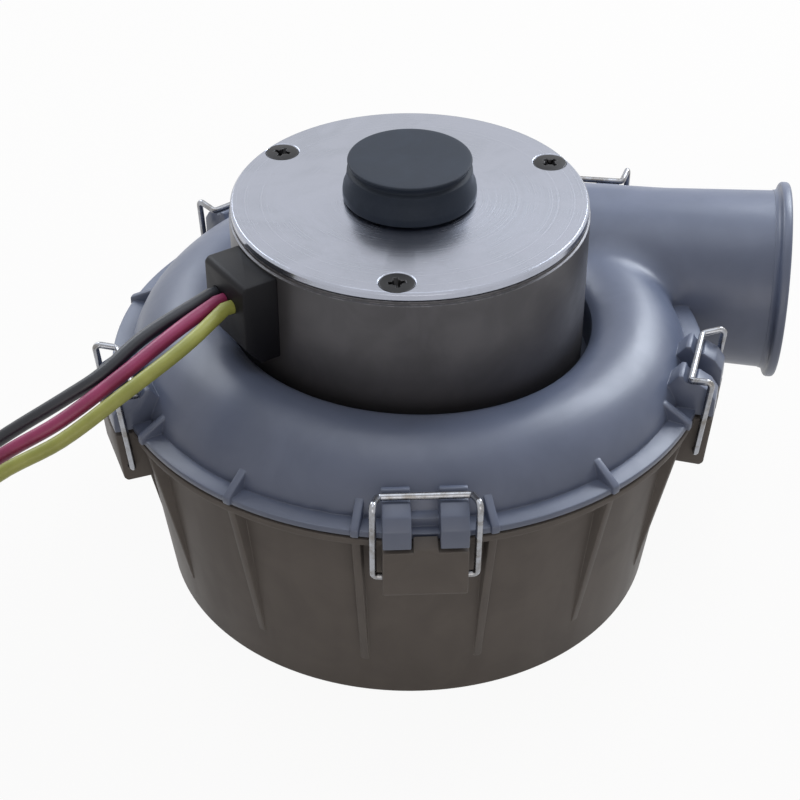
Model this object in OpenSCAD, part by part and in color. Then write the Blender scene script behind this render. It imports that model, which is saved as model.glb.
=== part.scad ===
// Two-stage brushless DC blower. The blower axis is Z and the outlet points along +X.

/* [Lower casing] */
// Outer radius of the cup at its flat base
cup_base_r = 60.9; // [55:0.1:66]
// Outer radius of the cup just under its rim flange
cup_top_r = 68.5; // [62:0.1:84]
// Height of the cup up to the underside of its flange
cup_height = 55; // [46:0.5:68]
// Wall of both casings
casing_wall = 2.5; // [1.8:0.1:3.2]
// Radius of the edge between base and wall
base_edge_r = 3; // [1:0.5:5]
// How far the rim flange stands out from the wall
rim_ledge = 4; // [3:0.5:6]
// Thickness of each rim flange
flange_t = 1.7; // [1.2:0.1:2.6]
// Thickness of the seal between the flanges
seal_t = 0.6; // [0.4:0.1:1.2]
// Thickness of the ribs and fins
rib_t = 2; // [1.4:0.1:3]
// Height of the foot of each rib above the base
rib_foot_z = 12; // [6:1:20]

/* [Scroll and outlet] */
// Radius of the outlet bore
outlet_bore_r = 20; // [16:0.5:24]
// Wall of the outlet tube
outlet_wall = 2.5; // [2:0.1:3.5]
// Distance from the blower axis to the mouth of the outlet
outlet_reach = 92.3; // [84:0.1:112]
// Depth of the round socket in the mouth of the outlet
outlet_socket_depth = 35; // [20:1:36]
// Radius of the lip round the mouth of the outlet
outlet_lip_r = 26.7; // [25:0.1:33]
// Thickness of that lip
outlet_lip_t = 2.6; // [2:0.1:4]
// How far the section's radius at the narrow end exceeds half the width left beside the motor well
scroll_bulge = 2.6; // [2:0.1:4]
// Row angle of the narrow end, the tongue
tongue_angle = 20; // [10:1:28]
// Radius of the rounded inner edge round the motor well
well_edge_r = 6; // [4:0.5:7]
// Thickness of the deck that carries the motor
deck_t = 3; // [2.5:0.1:4]

/* [Air path] */
// Radius of the intake opening in the base
intake_r = 20; // [16:0.5:24]
// Height of the intake collar inside the base
intake_collar_h = 4.8; // [4:0.1:6]
// Radius of the first impeller
first_impeller_r = 46; // [38:0.5:46]
// Radius of the second impeller
second_impeller_r = 44; // [36:0.5:44]
// Radius of the eye of the second impeller
second_eye_r = 17; // [14:0.5:20]
// Number of blades on each impeller
blade_count = 11; // [7:1:14]
// Number of return vanes on the stage plate
vane_count = 10; // [6:1:14]
// Thickness of blades and vanes
blade_t = 1.2; // [1:0.1:1.6]
// Thickness of the impellers' plates and of the stage plate
plate_t = 1.6; // [1.2:0.1:2]
// Height of the underside of the stage plate
stage_z = 18; // [17:0.5:20]

/* [Motor] */
// Radius of the motor can
motor_r = 42.1; // [36:0.1:51]
// Height of the motor above its deck
motor_h = 45; // [40:0.5:56]
// Wall of the motor can
can_wall = 2.5; // [2:0.1:3.5]
// Thickness of the top plate
top_plate_t = 2.2; // [2.2:0.1:4]
// Radius of the circle of the top plate's screws
plate_screw_circle_r = 37.3; // [30:0.1:38]
// Row angle of the first of those screws
plate_screw_angle = 33; // [0:1:119]
// Radius of the shaft
shaft_r = 3; // [2.5:0.1:3.6]
// Outer radius of the bearings
bearing_r = 9.5; // [8:0.1:11]
// Width of the bearings
bearing_w = 6; // [5:0.1:7]
// Radius of the upper bearing's boss
boss_r = 12.5; // [12:0.1:14]
// Height of the rubber cap above the top plate
cap_h = 10; // [9:0.5:14]
// Radius of the rubber cap at its top
cap_top_r = 14.4; // [14:0.1:16.5]
// Radius of the rubber cap at its lower edge
cap_foot_r = 16; // [15:0.1:18]
// Row angle of the lead block
lead_block_angle = -138.5; // [-150:0.5:-130]
// Width of the lead block
lead_block_w = 19; // [14:0.5:24]

/* [Clips] */
// Diameter of the bail wire
bail_wire_d = 1.6; // [1.2:0.1:2]
// Half the spacing of a bail's legs
bail_half_w = 11.4; // [10.6:0.1:14]
// Half the width of a latch pad
pad_half_w = 9.3; // [8:0.1:9.4]
// Half the gap between the two prongs of a hook
prong_gap_half = 3.1; // [2.6:0.1:4]
// Row angle of the first clip
first_clip_angle = -80; // [-84:1:-76]
// Distance along the straight rim edge of the clip behind the outlet
rear_clip_x = 39.2; // [34:0.1:42]

/* [Mounting] */
// Diameter of the circle of mounting inserts
mount_circle_d = 104; // [102:1:106]
// Radius of the threaded hole in each insert
insert_bore_r = 2; // [1.5:0.1:2.4]

/* [Fits] */
// Gap between pieces of one body that slide together
fit_gap = 0.05; // [0.02:0.01:0.1]
// Gap between mouldings that nest
nest_gap = 0.4; // [0.3:0.05:0.8]
// Radial clearance of a running fit
running_gap = 0.06; // [0.02:0.01:0.1]

/* [Hidden] */
$fn = 96;

// Heights of the casings
flange_z = cup_height;
casing_z = cup_height + flange_t + seal_t;
casing_top_z = casing_z + flange_t;
outlet_z = cup_height;
deck_top_z = cup_height;
deck_z = deck_top_z - deck_t;
overlap = 0.5;
step_back = 0.2;

// Plan sizes of the casings
rim_r = cup_top_r + rim_ledge;
tube_r = outlet_bore_r + outlet_wall;
scroll_end_r = tube_r + 0.4;
scroll_spread = 1;
socket_step = 0.3;
outlet_y = cup_top_r + scroll_spread - scroll_end_r;
well_r = motor_r + 2.2;
scroll_start_r = (cup_top_r - well_r) / 2 + scroll_bulge;
well_wall_r = well_r + 2.2;
straight_rim_y = rim_r + 1.2;
straight_rim_x = rear_clip_x + bail_half_w + 7.5;
section_end_x = straight_rim_x + 2.9;
socket_x = outlet_reach - outlet_socket_depth;
socket_seat_w = 2;
rim_corner_r = 8;
trough_r = tube_r + nest_gap + 2.2;
function cup_r(z) = cup_base_r + (cup_top_r - cup_base_r) * z / cup_height;
function cup_inner_r(z) = cup_r(z) - casing_wall;

// Heights of the air path
floor_t = 2.2;
floor_top_z = outlet_z - tube_r - 0.3;
floor_z = floor_top_z - floor_t;
first_impeller_z = intake_collar_h + 0.7;
first_impeller_top = stage_z - 2;
second_impeller_z = floor_top_z + 1;
second_impeller_top = deck_z - 4;
hub_r = 7;
nut_t = 3;
washer_t = 0.6;
washer_z = first_impeller_z + nut_t;
shaft_low_z = first_impeller_z - 0.3;
collar_z = second_impeller_top + 1;

// Heights of the motor
motor_top_z = deck_top_z + motor_h;
plate_z = motor_top_z - top_plate_t;
base_t = 4;
lower_bearing_z = deck_z + 1.2;
upper_bearing_z = motor_top_z - 0.5;
boss_top_z = motor_top_z + 7.4;
stator_z = deck_top_z + 9;
stator_top = stator_z + 18;
board_z = stator_top + 4;
board_t = 1.6;
can_inner_r = motor_r - can_wall;
screw_head_r = 4.1;
screw_r = 2;
post_r = 4.3;

// Clips
clip_pitch = 72;
clip_angles = [first_clip_angle, first_clip_angle + clip_pitch,
               first_clip_angle + 3 * clip_pitch, first_clip_angle + 4 * clip_pitch];
pivot_r = rim_r + 0.5;
pivot_z = cup_height - 7.5;
bar_r = rim_r - 2.8;
bar_z = casing_top_z + 8.3;
leg_top_r = rim_r + 2.9;
leg_top_z = bar_z + 2.2;
bail_pin_r = bail_wire_d / 2 + 0.05;
pin_depth = 2.8;
rib_count = 15;
rib_pitch = 360 / rib_count;

// Routes of the three leads, chosen by hand from the block to the surface
lead_d = 3.2;
lead_gap = 3.4;
lead_z = 89.5;
lead_face_r = 50;
black_route = [[-52.4, -46.4, 87.4], [-60, -56, 83.2], [-68, -60, 78.5], [-82, -65, 70], [-96, -68, 59],
               [-109, -71, 42], [-118, -73, 24], [-127, -76, 9], [-139, -80, 2.2], [-152, -86, 1.6]];
red_route = [[-45.4, -44.6, 88.4], [-56, -57, 83.4], [-67, -66, 77.2], [-80, -71, 70], [-94, -75, 59],
             [-106, -80, 42], [-115, -84, 24], [-124, -88, 9], [-136, -92, 2.2], [-149, -98, 1.6]];
yellow_route = [[-43, -50, 87.6], [-54, -61, 82], [-66, -70, 75], [-79, -76, 69], [-92, -81, 58],
                [-103, -87, 42], [-112, -93, 24], [-121, -98, 9], [-132, -104, 2.2], [-144, -111, 1.6]];

// Points of a plane arc
function arc(c, r, a0, a1, n) =
    [for (i = [0:n]) let (a = a0 + (a1 - a0) * i / n) [c[0] + r * cos(a), c[1] + r * sin(a)]];

// Sides and ends of a shape that runs through several rings of points
function loft_faces(rings, sides) = concat(
    [for (i = [0:rings - 2]) for (j = [0:sides - 1])
        [i * sides + j, (i + 1) * sides + j, (i + 1) * sides + (j + 1) % sides]],
    [for (i = [0:rings - 2]) for (j = [0:sides - 1])
        [i * sides + j, (i + 1) * sides + (j + 1) % sides, i * sides + (j + 1) % sides]]);

function end_faces(rings, sides) =
    [[for (j = [0:sides - 1]) j], [for (j = [sides - 1:-1:0]) (rings - 1) * sides + j]];

// A round wire or lead along points, with its section kept square to the route
function unit(v) = v / norm(v);
function heading(p, i) = unit(p[min(i + 1, len(p) - 1)] - p[max(i - 1, 0)]);
function side_step(n, t) = unit(n - (n * t) * t);
function side_vectors(p, n0) =
    [for (i = 0, n = side_step(n0, heading(p, 0)); i < len(p);
        i = i + 1, n = side_step(n, heading(p, min(i, len(p) - 1)))) n];
function tube_points(p, r, sides, n0) = let (n = side_vectors(p, n0))
    [for (i = [0:len(p) - 1]) let (t = heading(p, i), b = cross(t, n[i]))
        for (j = [0:sides - 1]) let (a = 360 * j / sides) p[i] + r * (cos(a) * n[i] + sin(a) * b)];

module swept_wire(p, r, sides, n0) {
    polyhedron(points = tube_points(p, r, sides, n0),
               faces = concat(loft_faces(len(p), sides), end_faces(len(p), sides)));
}

// A smooth curve through a list of points
function curve_point(a, b, c, d, t) =
    0.5 * (2 * b + (c - a) * t + (2 * a - 5 * b + 4 * c - d) * t * t
           + (3 * b - a - 3 * c + d) * t * t * t);
function smooth_route(p, steps) = let (last = len(p) - 1) concat(
    [for (i = [0:last - 1]) for (k = [0:steps - 1])
        curve_point(i > 0 ? p[i - 1] : 2 * p[0] - p[1], p[i], p[i + 1],
                    i + 2 <= last ? p[i + 2] : 2 * p[last] - p[last - 1], k / steps)],
    [p[last]]);

// Corner b of a path, rounded with radius r
function rounded_corner(a, b, c, r, n) =
    let (u = unit(a - b), v = unit(c - b), half = acos(u * v) / 2,
         reach = r / tan(half), m = b + unit(u + v) * r / sin(half),
         e = unit(b + u * reach - m), f = unit(b + v * reach - m), turn = acos(e * f))
    [for (i = [0:n]) m + r * (sin(turn * (1 - i / n)) * e + sin(turn * i / n) * f) / sin(turn)];

// Turns a plate drawn in radius and height so that its middle lies along a row angle
module radial_plate(angle, thickness) {
    rotate([0, 0, angle]) rotate([90, 0, 0])
        linear_extrude(height = thickness, center = true) children();
}

// Places a clip part drawn round the X direction at each clip on the round rim
module at_round_clips() {
    for (a = clip_angles) rotate([0, 0, a]) children();
}

// Places a clip part on the straight rim edge behind the outlet
module at_rear_clip() {
    translate([rear_clip_x, straight_rim_y - rim_r, 0]) rotate([0, 0, 90]) children();
}

// Outline of both flanges: round, with a straight edge and a corner behind the outlet
module rim_outline(inset = 0) {
    circle(r = rim_r - inset);
    difference() {
        square([straight_rim_x - inset, straight_rim_y - inset]);
        translate([straight_rim_x - rim_corner_r, straight_rim_y - rim_corner_r])
            difference() {
                square(rim_corner_r + 1);
                circle(r = rim_corner_r - inset);
            }
    }
}

// Section of the scroll at a share g of its way, drawn with its wall taken off by w
function section_r(g) = scroll_start_r + (scroll_end_r - scroll_start_r) * g;
function section_outer_r(g) = cup_top_r - 0.2 + (scroll_spread + 0.2) * g;
edge_centre_r = well_r - 0.9 + well_edge_r;

function section_bend(g) = let (a = section_r(g), rc = section_outer_r(g) - a, d = edge_centre_r - rc)
    [rc, a, sqrt((a - well_edge_r) * (a - well_edge_r) - d * d), d];

function outer_section(g) = let (s = section_bend(g), rc = s[0], a = s[1], zf = outlet_z + s[2],
        meet = atan2(s[2], s[3]), low = asin((casing_z + 0.7 - outlet_z) / a))
    concat(arc([rc, outlet_z], a, low, meet, 9),
           [for (k = [1:4]) [edge_centre_r, zf]
                + well_edge_r * [cos(meet + (160 - meet) * k / 4), sin(meet + (160 - meet) * k / 4)]],
           [[well_r - 3, zf], [well_r - 3, casing_z + 0.7]]);

function channel_section(g) = let (s = section_bend(g), rc = s[0], a = s[1] - casing_wall,
        zf = outlet_z + s[2], meet = atan2(s[2], s[3]), low = asin((casing_top_z + 2.5 - outlet_z) / a),
        edge = well_edge_r - casing_wall)
    concat([[cup_inner_r(cup_height) - nest_gap - 2.4, flange_z + 1],
            [cup_inner_r(cup_height) - nest_gap - 2.4, casing_top_z + 1.5]],
           arc([rc, outlet_z], a, low, meet, 8),
           [for (k = [1:3]) [edge_centre_r, zf]
                + edge * [cos(meet + (170 - meet) * k / 3), sin(meet + (170 - meet) * k / 3)]],
           [[well_wall_r - 3.5, zf], [well_wall_r - 3.5, flange_z + 1]]);

// Row angle of a station of the scroll, which runs clockwise to the start of the outlet
scroll_turn = 270 + tongue_angle;
tongue_lead_in = 0.062;
function station_angle(g) = tongue_angle - scroll_turn * g;

module scroll_solid(g0, stations, channel) {
    rings = [for (i = [0:stations])
        let (g = g0 + (1 - g0) * i / stations, q = station_angle(g))
            [for (p = channel ? channel_section(g) : outer_section(g))
                [p[0] * cos(q), p[0] * sin(q), p[1]]]];
    sides = len(rings[0]);
    polyhedron(points = [for (ring = rings) for (p = ring) p],
               faces = concat(loft_faces(stations + 1, sides), end_faces(stations + 1, sides)));
}

// Straight run of the same section along the outlet
module straight_run(length, channel) {
    rotate([90, 0, 90])
        linear_extrude(height = length) polygon(channel ? channel_section(1) : outer_section(1));
}

module outlet_cylinder(r, x0, x1) {
    translate([x0, outlet_y, outlet_z]) rotate([0, 90, 0]) cylinder(r = r, h = x1 - x0);
}

// Round ribs and fins: those that the outlet passes through are left out
module at_ribs() {
    for (k = [0:rib_count - 1])
        let (a = first_clip_angle - rib_pitch / 2 + k * rib_pitch)
            if (abs(a - 40) > 30) rotate([0, 0, a]) children();
}

module latch_pad() {
    pad_top_z = flange_z + flange_t - step_back;
    difference() {
        union() {
            rotate([90, 0, 0]) linear_extrude(height = 2 * pad_half_w, center = true)
                polygon([[cup_top_r - 4.5, pivot_z - 3.5], [pivot_r + 1.3, pivot_z - 3.5],
                         [rim_r + 3.5, pad_top_z], [cup_top_r - 4.5, pad_top_z]]);
            rotate([90, 0, 0]) linear_extrude(height = 2 * prong_gap_half - 0.8, center = true)
                polygon([[rim_r + 0.7, pivot_z], [rim_r + 3, pivot_z], [rim_r + 4.5, casing_top_z],
                         [rim_r + 4.5, casing_top_z + 5], [rim_r + 3.2, casing_top_z + 6],
                         [rim_r + 0.7, casing_top_z + 6]]);
        }
        for (s = [-1, 1])
            translate([pivot_r, s * (pad_half_w + 1), pivot_z]) rotate([s * 90, 0, 0])
                cylinder(r = bail_pin_r + running_gap, h = pin_depth + 1.3);
    }
}

module hook_prongs() {
    for (s = [-1, 1])
        translate([0, s * (prong_gap_half + pad_half_w) / 2, 0]) rotate([90, 0, 0])
            linear_extrude(height = pad_half_w - prong_gap_half, center = true)
                polygon([[cup_top_r - 4, casing_z + step_back], [cup_top_r - 4, bar_z - 2.5],
                         [bar_r - 3.2, bar_z + 0.6], [bar_r - 2.7, bar_z + 1.3],
                         [bar_r - 1.6, bar_z + 1.2], [bar_r - 1.25, bar_z - 0.4],
                         [bar_r - 0.5, bar_z - 1.25], [bar_r + 0.6, bar_z - 1.25],
                         [bar_r + 1.5, bar_z - 0.8], [rim_r + 2, bar_z - 1.8],
                         [rim_r + 3.5, bar_z - 3.4], [rim_r + 3.5, casing_z + step_back]]);
}

module lower_casing() {
    support_r = first_impeller_r + 11;
    color([0.30, 0.30, 0.30])
    difference() {
        union() {
            rotate_extrude()
                polygon(concat([[0, 0]],
                               arc([cup_base_r - base_edge_r, base_edge_r], base_edge_r, -90, -8, 5),
                               [[cup_top_r, flange_z + overlap], [0, flange_z + overlap]]));
            translate([0, 0, flange_z]) linear_extrude(height = flange_t) rim_outline();
            intersection() {
                outlet_cylinder(trough_r, -2.6, straight_rim_x - 0.6);
                translate([-5, 0, 0]) cube([100, 100, flange_z + overlap]);
            }
            at_ribs() radial_plate(0, rib_t)
                polygon([[cup_r(rib_foot_z) - 1.5, rib_foot_z], [cup_r(rib_foot_z) + 0.1, rib_foot_z],
                         [rim_r - 0.5, flange_z + overlap], [cup_top_r - 1.5, flange_z + overlap]]);
            at_round_clips() latch_pad();
            at_rear_clip() latch_pad();
        }
        difference() {
            rotate_extrude()
                polygon([[0, casing_wall], [cup_inner_r(casing_wall), casing_wall],
                         [cup_inner_r(100), 100], [0, 100]]);
            difference() {
                cylinder(r = intake_r + 1.8, h = intake_collar_h);
                translate([0, 0, -1]) cylinder(r = intake_r, h = 20);
            }
            for (k = [0:7])
                rotate([0, 0, 22.5 + 45 * k]) translate([support_r, -rib_t / 2, 0])
                    cube([20, rib_t, stage_z]);
            for (k = [0:3])
                rotate([0, 0, 45 + 90 * k]) translate([mount_circle_d / 2, 0, 0])
                    cylinder(r = insert_bore_r + 2.6, h = 10);
        }
        translate([0, 0, -1]) cylinder(r = intake_r, h = 10);
        for (k = [0:3])
            rotate([0, 0, 45 + 90 * k]) translate([mount_circle_d / 2, 0, -1])
                cylinder(r = insert_bore_r + 1.2 + fit_gap, h = 9.2);
        outlet_cylinder(tube_r + nest_gap, -nest_gap, outlet_reach);
    }
}

module mounting_inserts() {
    color([0.78, 0.62, 0.30])
    for (k = [0:3])
        rotate([0, 0, 45 + 90 * k]) translate([mount_circle_d / 2, 0, 0.1])
            difference() {
                cylinder(r = insert_bore_r + 1.2, h = 8);
                translate([0, 0, -1]) cylinder(r = insert_bore_r, h = 10);
            }
}

module rim_seal() {
    color([0.08, 0.08, 0.08])
    translate([0, 0, flange_z + flange_t]) linear_extrude(height = seal_t)
        difference() {
            rim_outline(0.7);
            circle(r = cup_top_r - 0.5);
            translate([-3, outlet_y - tube_r - 3]) square([200, 2 * tube_r + 8]);
        }
}

// Curved blade from radius r0 to r1, swept back by the given angle
function blade_side(r0, r1, sweep, off, n) =
    [for (i = [0:n]) let (r = r0 + (r1 - r0) * i / n, a = sweep * i / n + off / r * 57.3 / 2)
        [r * cos(a), r * sin(a)]];

module blade(r0, r1, sweep) {
    back = blade_side(r0, r1, sweep, -blade_t, 8);
    front = blade_side(r0, r1, sweep, blade_t, 8);
    polygon(concat(back, [for (i = [8:-1:0]) front[i]]));
}

module impeller(r, eye_r, z0, z1, hub_z0, hub_z1, neck_z) {
    difference() {
        union() {
            rotate_extrude()
                polygon([[eye_r, neck_z], [eye_r + 1.4, neck_z], [eye_r + 1.4, z0], [r, z0],
                         [r, z0 + plate_t], [eye_r, z0 + plate_t]]);
            translate([0, 0, z1 - plate_t]) cylinder(r = r, h = plate_t);
            translate([0, 0, hub_z0]) cylinder(r = hub_r, h = hub_z1 - hub_z0);
            translate([0, 0, z0 + plate_t / 2]) linear_extrude(height = z1 - z0 - plate_t)
                for (k = [0:blade_count - 1])
                    rotate([0, 0, 360 * k / blade_count]) blade(eye_r + 1, r - 0.6, -58);
        }
        translate([0, 0, hub_z0 - 1]) cylinder(r = shaft_r + fit_gap / 2, h = hub_z1 - hub_z0 + 30);
    }
}

module first_impeller() {
    color([0.16, 0.17, 0.18])
    impeller(first_impeller_r, intake_r + 1, first_impeller_z, first_impeller_top,
             washer_z + washer_t, first_impeller_top + 0.5, first_impeller_z);
}

module second_impeller() {
    color([0.16, 0.17, 0.18])
    impeller(second_impeller_r, second_eye_r, second_impeller_z, second_impeller_top,
             floor_top_z - 1, second_impeller_top + 1, floor_z + 0.6);
}

module stage_plate() {
    ring_r = cup_inner_r(stage_z) - nest_gap;
    color([0.22, 0.23, 0.25])
    difference() {
        union() {
            translate([0, 0, stage_z]) cylinder(r = ring_r - 7.5, h = plate_t);
            translate([0, 0, stage_z]) difference() {
                cylinder(r = ring_r, h = plate_t);
                translate([0, 0, -1]) cylinder(r = ring_r - 2.6, h = plate_t + 2);
            }
            translate([0, 0, stage_z + plate_t / 2])
                linear_extrude(height = floor_z - stage_z - plate_t / 2)
                    for (k = [0:vane_count - 1])
                        rotate([0, 0, 360 * k / vane_count]) blade(second_eye_r + 6, ring_r - 0.4, 50);
        }
        translate([0, 0, stage_z - 1]) cylinder(r = hub_r - 0.2, h = plate_t + 2);
    }
}

module volute_floor() {
    eye_hole_r = second_eye_r + 1.4 + nest_gap;
    color([0.36, 0.39, 0.44])
    rotate_extrude()
        polygon([[eye_hole_r, floor_z], [cup_inner_r(floor_z) - nest_gap, floor_z],
                 [cup_inner_r(floor_z) - nest_gap, floor_top_z], [eye_hole_r, floor_top_z]]);
}

module upper_casing() {
    skirt_t = 2;
    base_hole_r = bearing_r + 2;
    color([0.43, 0.48, 0.57])
    difference() {
        union() {
            scroll_solid(-tongue_lead_in, 46, false);
            straight_run(section_end_x, false);
            outlet_cylinder(tube_r, 1, outlet_reach);
            translate([outlet_reach - outlet_lip_t, outlet_y, outlet_z]) rotate([0, 90, 0])
                cylinder(r = outlet_lip_r, h = outlet_lip_t);
            translate([outlet_reach - outlet_lip_t - 2.2, outlet_y, outlet_z]) rotate([0, 90, 0])
                cylinder(r1 = tube_r - 0.2, r2 = tube_r + 1.8, h = 2.6);
            translate([0, 0, casing_z]) linear_extrude(height = flange_t) rim_outline();
            rotate_extrude()
                polygon([[cup_inner_r(floor_top_z) - nest_gap - skirt_t, floor_top_z],
                         [cup_inner_r(floor_top_z) - nest_gap, floor_top_z],
                         [cup_inner_r(cup_height) - nest_gap, cup_height],
                         [cup_inner_r(cup_height) - nest_gap, casing_z + overlap],
                         [cup_inner_r(cup_height) - nest_gap - skirt_t, casing_z + overlap]]);
            translate([0, 0, deck_z]) cylinder(r = well_wall_r, h = casing_top_z - deck_z);
            at_ribs() radial_plate(0, rib_t)
                polygon([[cup_top_r - 4, casing_z + step_back], [rim_r + 0.8, casing_z + step_back],
                         [rim_r + 0.8, casing_top_z + 0.6], [cup_top_r - 2, casing_top_z + 4.2],
                         [cup_top_r - 4, casing_top_z + 4.2]]);
            at_round_clips() hook_prongs();
            at_rear_clip() hook_prongs();
        }
        difference() {
            union() {
                scroll_solid(0, 42, true);
                straight_run(socket_x - socket_seat_w, true);
                outlet_cylinder(outlet_bore_r - socket_step, 1, outlet_reach);
                outlet_cylinder(outlet_bore_r, socket_x, outlet_reach + 1);
            }
            translate([0, 0, deck_z]) cylinder(r = well_wall_r, h = 60);
            translate([0, 0, floor_z]) cylinder(r = second_impeller_r + 1.2, h = deck_z - floor_z + 1);
        }
        translate([0, 0, floor_top_z - 10])
            cylinder(r = second_impeller_r + 1.2, h = deck_z - floor_top_z + 10);
        translate([0, 0, deck_top_z]) cylinder(r = well_r, h = 60);
        translate([0, 0, deck_z - 1]) cylinder(r = base_hole_r + 0.3, h = deck_t + 2);
        at_motor_screws() {
            translate([0, 0, deck_z - 1]) cylinder(r = 1.7, h = deck_t + 2);
            translate([0, 0, deck_z - 0.01]) cylinder(r1 = 3, r2 = 1.6, h = 1.4);
        }
    }
}

module at_motor_screws() {
    for (k = [0:2])
        rotate([0, 0, plate_screw_angle + 60 + 120 * k]) translate([motor_r - 9, 0, 0]) children();
}

module impeller_spacer() {
    color([0.70, 0.71, 0.74])
    translate([0, 0, first_impeller_top + 0.5]) difference() {
        cylinder(r = hub_r - 1.5, h = floor_top_z - 1 - first_impeller_top - 0.5);
        translate([0, 0, -1]) cylinder(r = shaft_r + fit_gap / 2, h = 60);
    }
}

module impeller_washer() {
    color([0.72, 0.72, 0.74])
    translate([0, 0, washer_z]) difference() {
        cylinder(r = hub_r - 0.5, h = washer_t);
        translate([0, 0, -1]) cylinder(r = shaft_r + fit_gap / 2, h = 3);
    }
}

module impeller_nut() {
    color([0.72, 0.72, 0.74])
    translate([0, 0, first_impeller_z]) difference() {
        cylinder(r = shaft_r + 2.8, h = nut_t, $fn = 6);
        translate([0, 0, -1]) cylinder(r = shaft_r + fit_gap / 2, h = nut_t + 2);
    }
}

module rotor_shaft() {
    color([0.76, 0.76, 0.78])
    rotate_extrude()
        polygon([[0, shaft_low_z], [shaft_r - 0.4, shaft_low_z], [shaft_r, shaft_low_z + 0.4],
                 [shaft_r, collar_z], [shaft_r + 1, collar_z], [shaft_r + 1, lower_bearing_z],
                 [shaft_r, lower_bearing_z], [shaft_r, boss_top_z - 0.8], [shaft_r - 0.4, boss_top_z - 0.4],
                 [0, boss_top_z - 0.4]]);
}

module rotor_core() {
    color([0.50, 0.50, 0.53])
    translate([0, 0, stator_z - 0.5]) difference() {
        cylinder(r = 14.5, h = stator_top - stator_z + 1);
        translate([0, 0, -1]) cylinder(r = shaft_r + fit_gap / 2, h = 40);
        for (k = [0:5]) rotate([0, 0, 60 * k]) translate([9, 0, -1]) cylinder(r = 2, h = 40);
    }
}

module rotor_magnets() {
    color([0.24, 0.24, 0.26])
    for (k = [0:7])
        rotate([0, 0, 45 * k]) translate([0, 0, stator_z]) rotate_extrude(angle = 42)
            translate([14.5 + fit_gap, 0]) square([2.6, stator_top - stator_z]);
}

module retaining_ring() {
    color([0.20, 0.20, 0.22])
    translate([0, 0, upper_bearing_z - 1]) rotate([0, 0, 20]) rotate_extrude(angle = 320)
        translate([shaft_r + fit_gap / 2, 0]) square([2.2, 0.9]);
}

module bearing(z) {
    color([0.70, 0.71, 0.73])
    translate([0, 0, z]) rotate_extrude()
        polygon([[shaft_r + running_gap, 0], [shaft_r + 2, 0], [shaft_r + 2.2, 0.5], [bearing_r - 2.2, 0.5],
                 [bearing_r - 2, 0], [bearing_r - 0.3, 0], [bearing_r, 0.3], [bearing_r, bearing_w - 0.3],
                 [bearing_r - 0.3, bearing_w], [bearing_r - 2, bearing_w],
                 [bearing_r - 2.2, bearing_w - 0.5], [shaft_r + 2.2, bearing_w - 0.5],
                 [shaft_r + 2, bearing_w], [shaft_r + running_gap, bearing_w]]);
}

module lower_bearing() {
    bearing(lower_bearing_z);
}

module upper_bearing() {
    bearing(upper_bearing_z);
}

module wave_washer() {
    color([0.74, 0.74, 0.76])
    translate([0, 0, upper_bearing_z + bearing_w]) difference() {
        cylinder(r = bearing_r - 0.2, h = 0.5);
        translate([0, 0, -1]) cylinder(r = bearing_r - 3, h = 3);
    }
}

module stator_core() {
    bore_r = 17.7;
    color([0.45, 0.46, 0.49])
    translate([0, 0, stator_z]) linear_extrude(height = stator_top - stator_z)
        difference() {
            union() {
                difference() {
                    circle(r = can_inner_r - fit_gap);
                    circle(r = can_inner_r - 6.5);
                }
                for (k = [0:8])
                    rotate([0, 0, 40 * k]) translate([bore_r + 1, -3])
                        square([can_inner_r - bore_r - 5, 6]);
                difference() {
                    circle(r = bore_r + 2.6);
                    for (k = [0:8]) rotate([0, 0, 40 * k + 20]) translate([0, -1.4]) square([30, 2.8]);
                }
            }
            circle(r = bore_r);
        }
}

module stator_windings() {
    tooth = 6;
    stack = stator_top - stator_z;
    color([0.66, 0.36, 0.16])
    for (k = [0:8])
        rotate([0, 0, 40 * k]) translate([21, 0, (stator_z + stator_top) / 2]) rotate([0, 90, 0])
            linear_extrude(height = can_inner_r - 29)
                difference() {
                    square([stack + 4, tooth + 4.6], center = true);
                    square([stack + 0.2, tooth + 0.2], center = true);
                }
}

module control_board() {
    color([0.10, 0.32, 0.18])
    translate([0, 0, board_z]) difference() {
        cylinder(r = can_inner_r - 1, h = board_t);
        translate([0, 0, -1]) cylinder(r = 11, h = 4);
    }
    color([0.10, 0.10, 0.11])
    for (k = [0:5])
        rotate([0, 0, 60 * k + 15]) translate([20, -3, board_z + board_t]) cube([6.5, 5, 1.5]);
}

module board_standoffs() {
    color([0.80, 0.80, 0.76])
    for (k = [0:2])
        rotate([0, 0, 120 * k + 60]) translate([can_inner_r - 3.6, 0, stator_top])
            cylinder(r = 2, h = board_z - stator_top);
}

module motor_base() {
    base_boss_r = bearing_r + 2;
    color([0.60, 0.62, 0.66])
    difference() {
        rotate_extrude()
            polygon([[shaft_r + 2, deck_z], [base_boss_r, deck_z], [base_boss_r, deck_top_z],
                     [motor_r, deck_top_z], [motor_r, deck_top_z + base_t],
                     [can_inner_r - fit_gap, deck_top_z + base_t],
                     [can_inner_r - fit_gap, deck_top_z + base_t + 2.5],
                     [can_inner_r - 2.5, deck_top_z + base_t + 2.5],
                     [can_inner_r - 2.5, deck_top_z + base_t],
                     [base_boss_r, deck_top_z + base_t], [base_boss_r, lower_bearing_z + bearing_w],
                     [shaft_r + 2, lower_bearing_z + bearing_w]]);
        translate([0, 0, lower_bearing_z]) cylinder(r = bearing_r + fit_gap, h = 30);
        at_motor_screws() translate([0, 0, deck_top_z - 1]) cylinder(r = 1.5 + fit_gap, h = 4.2);
    }
}

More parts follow.
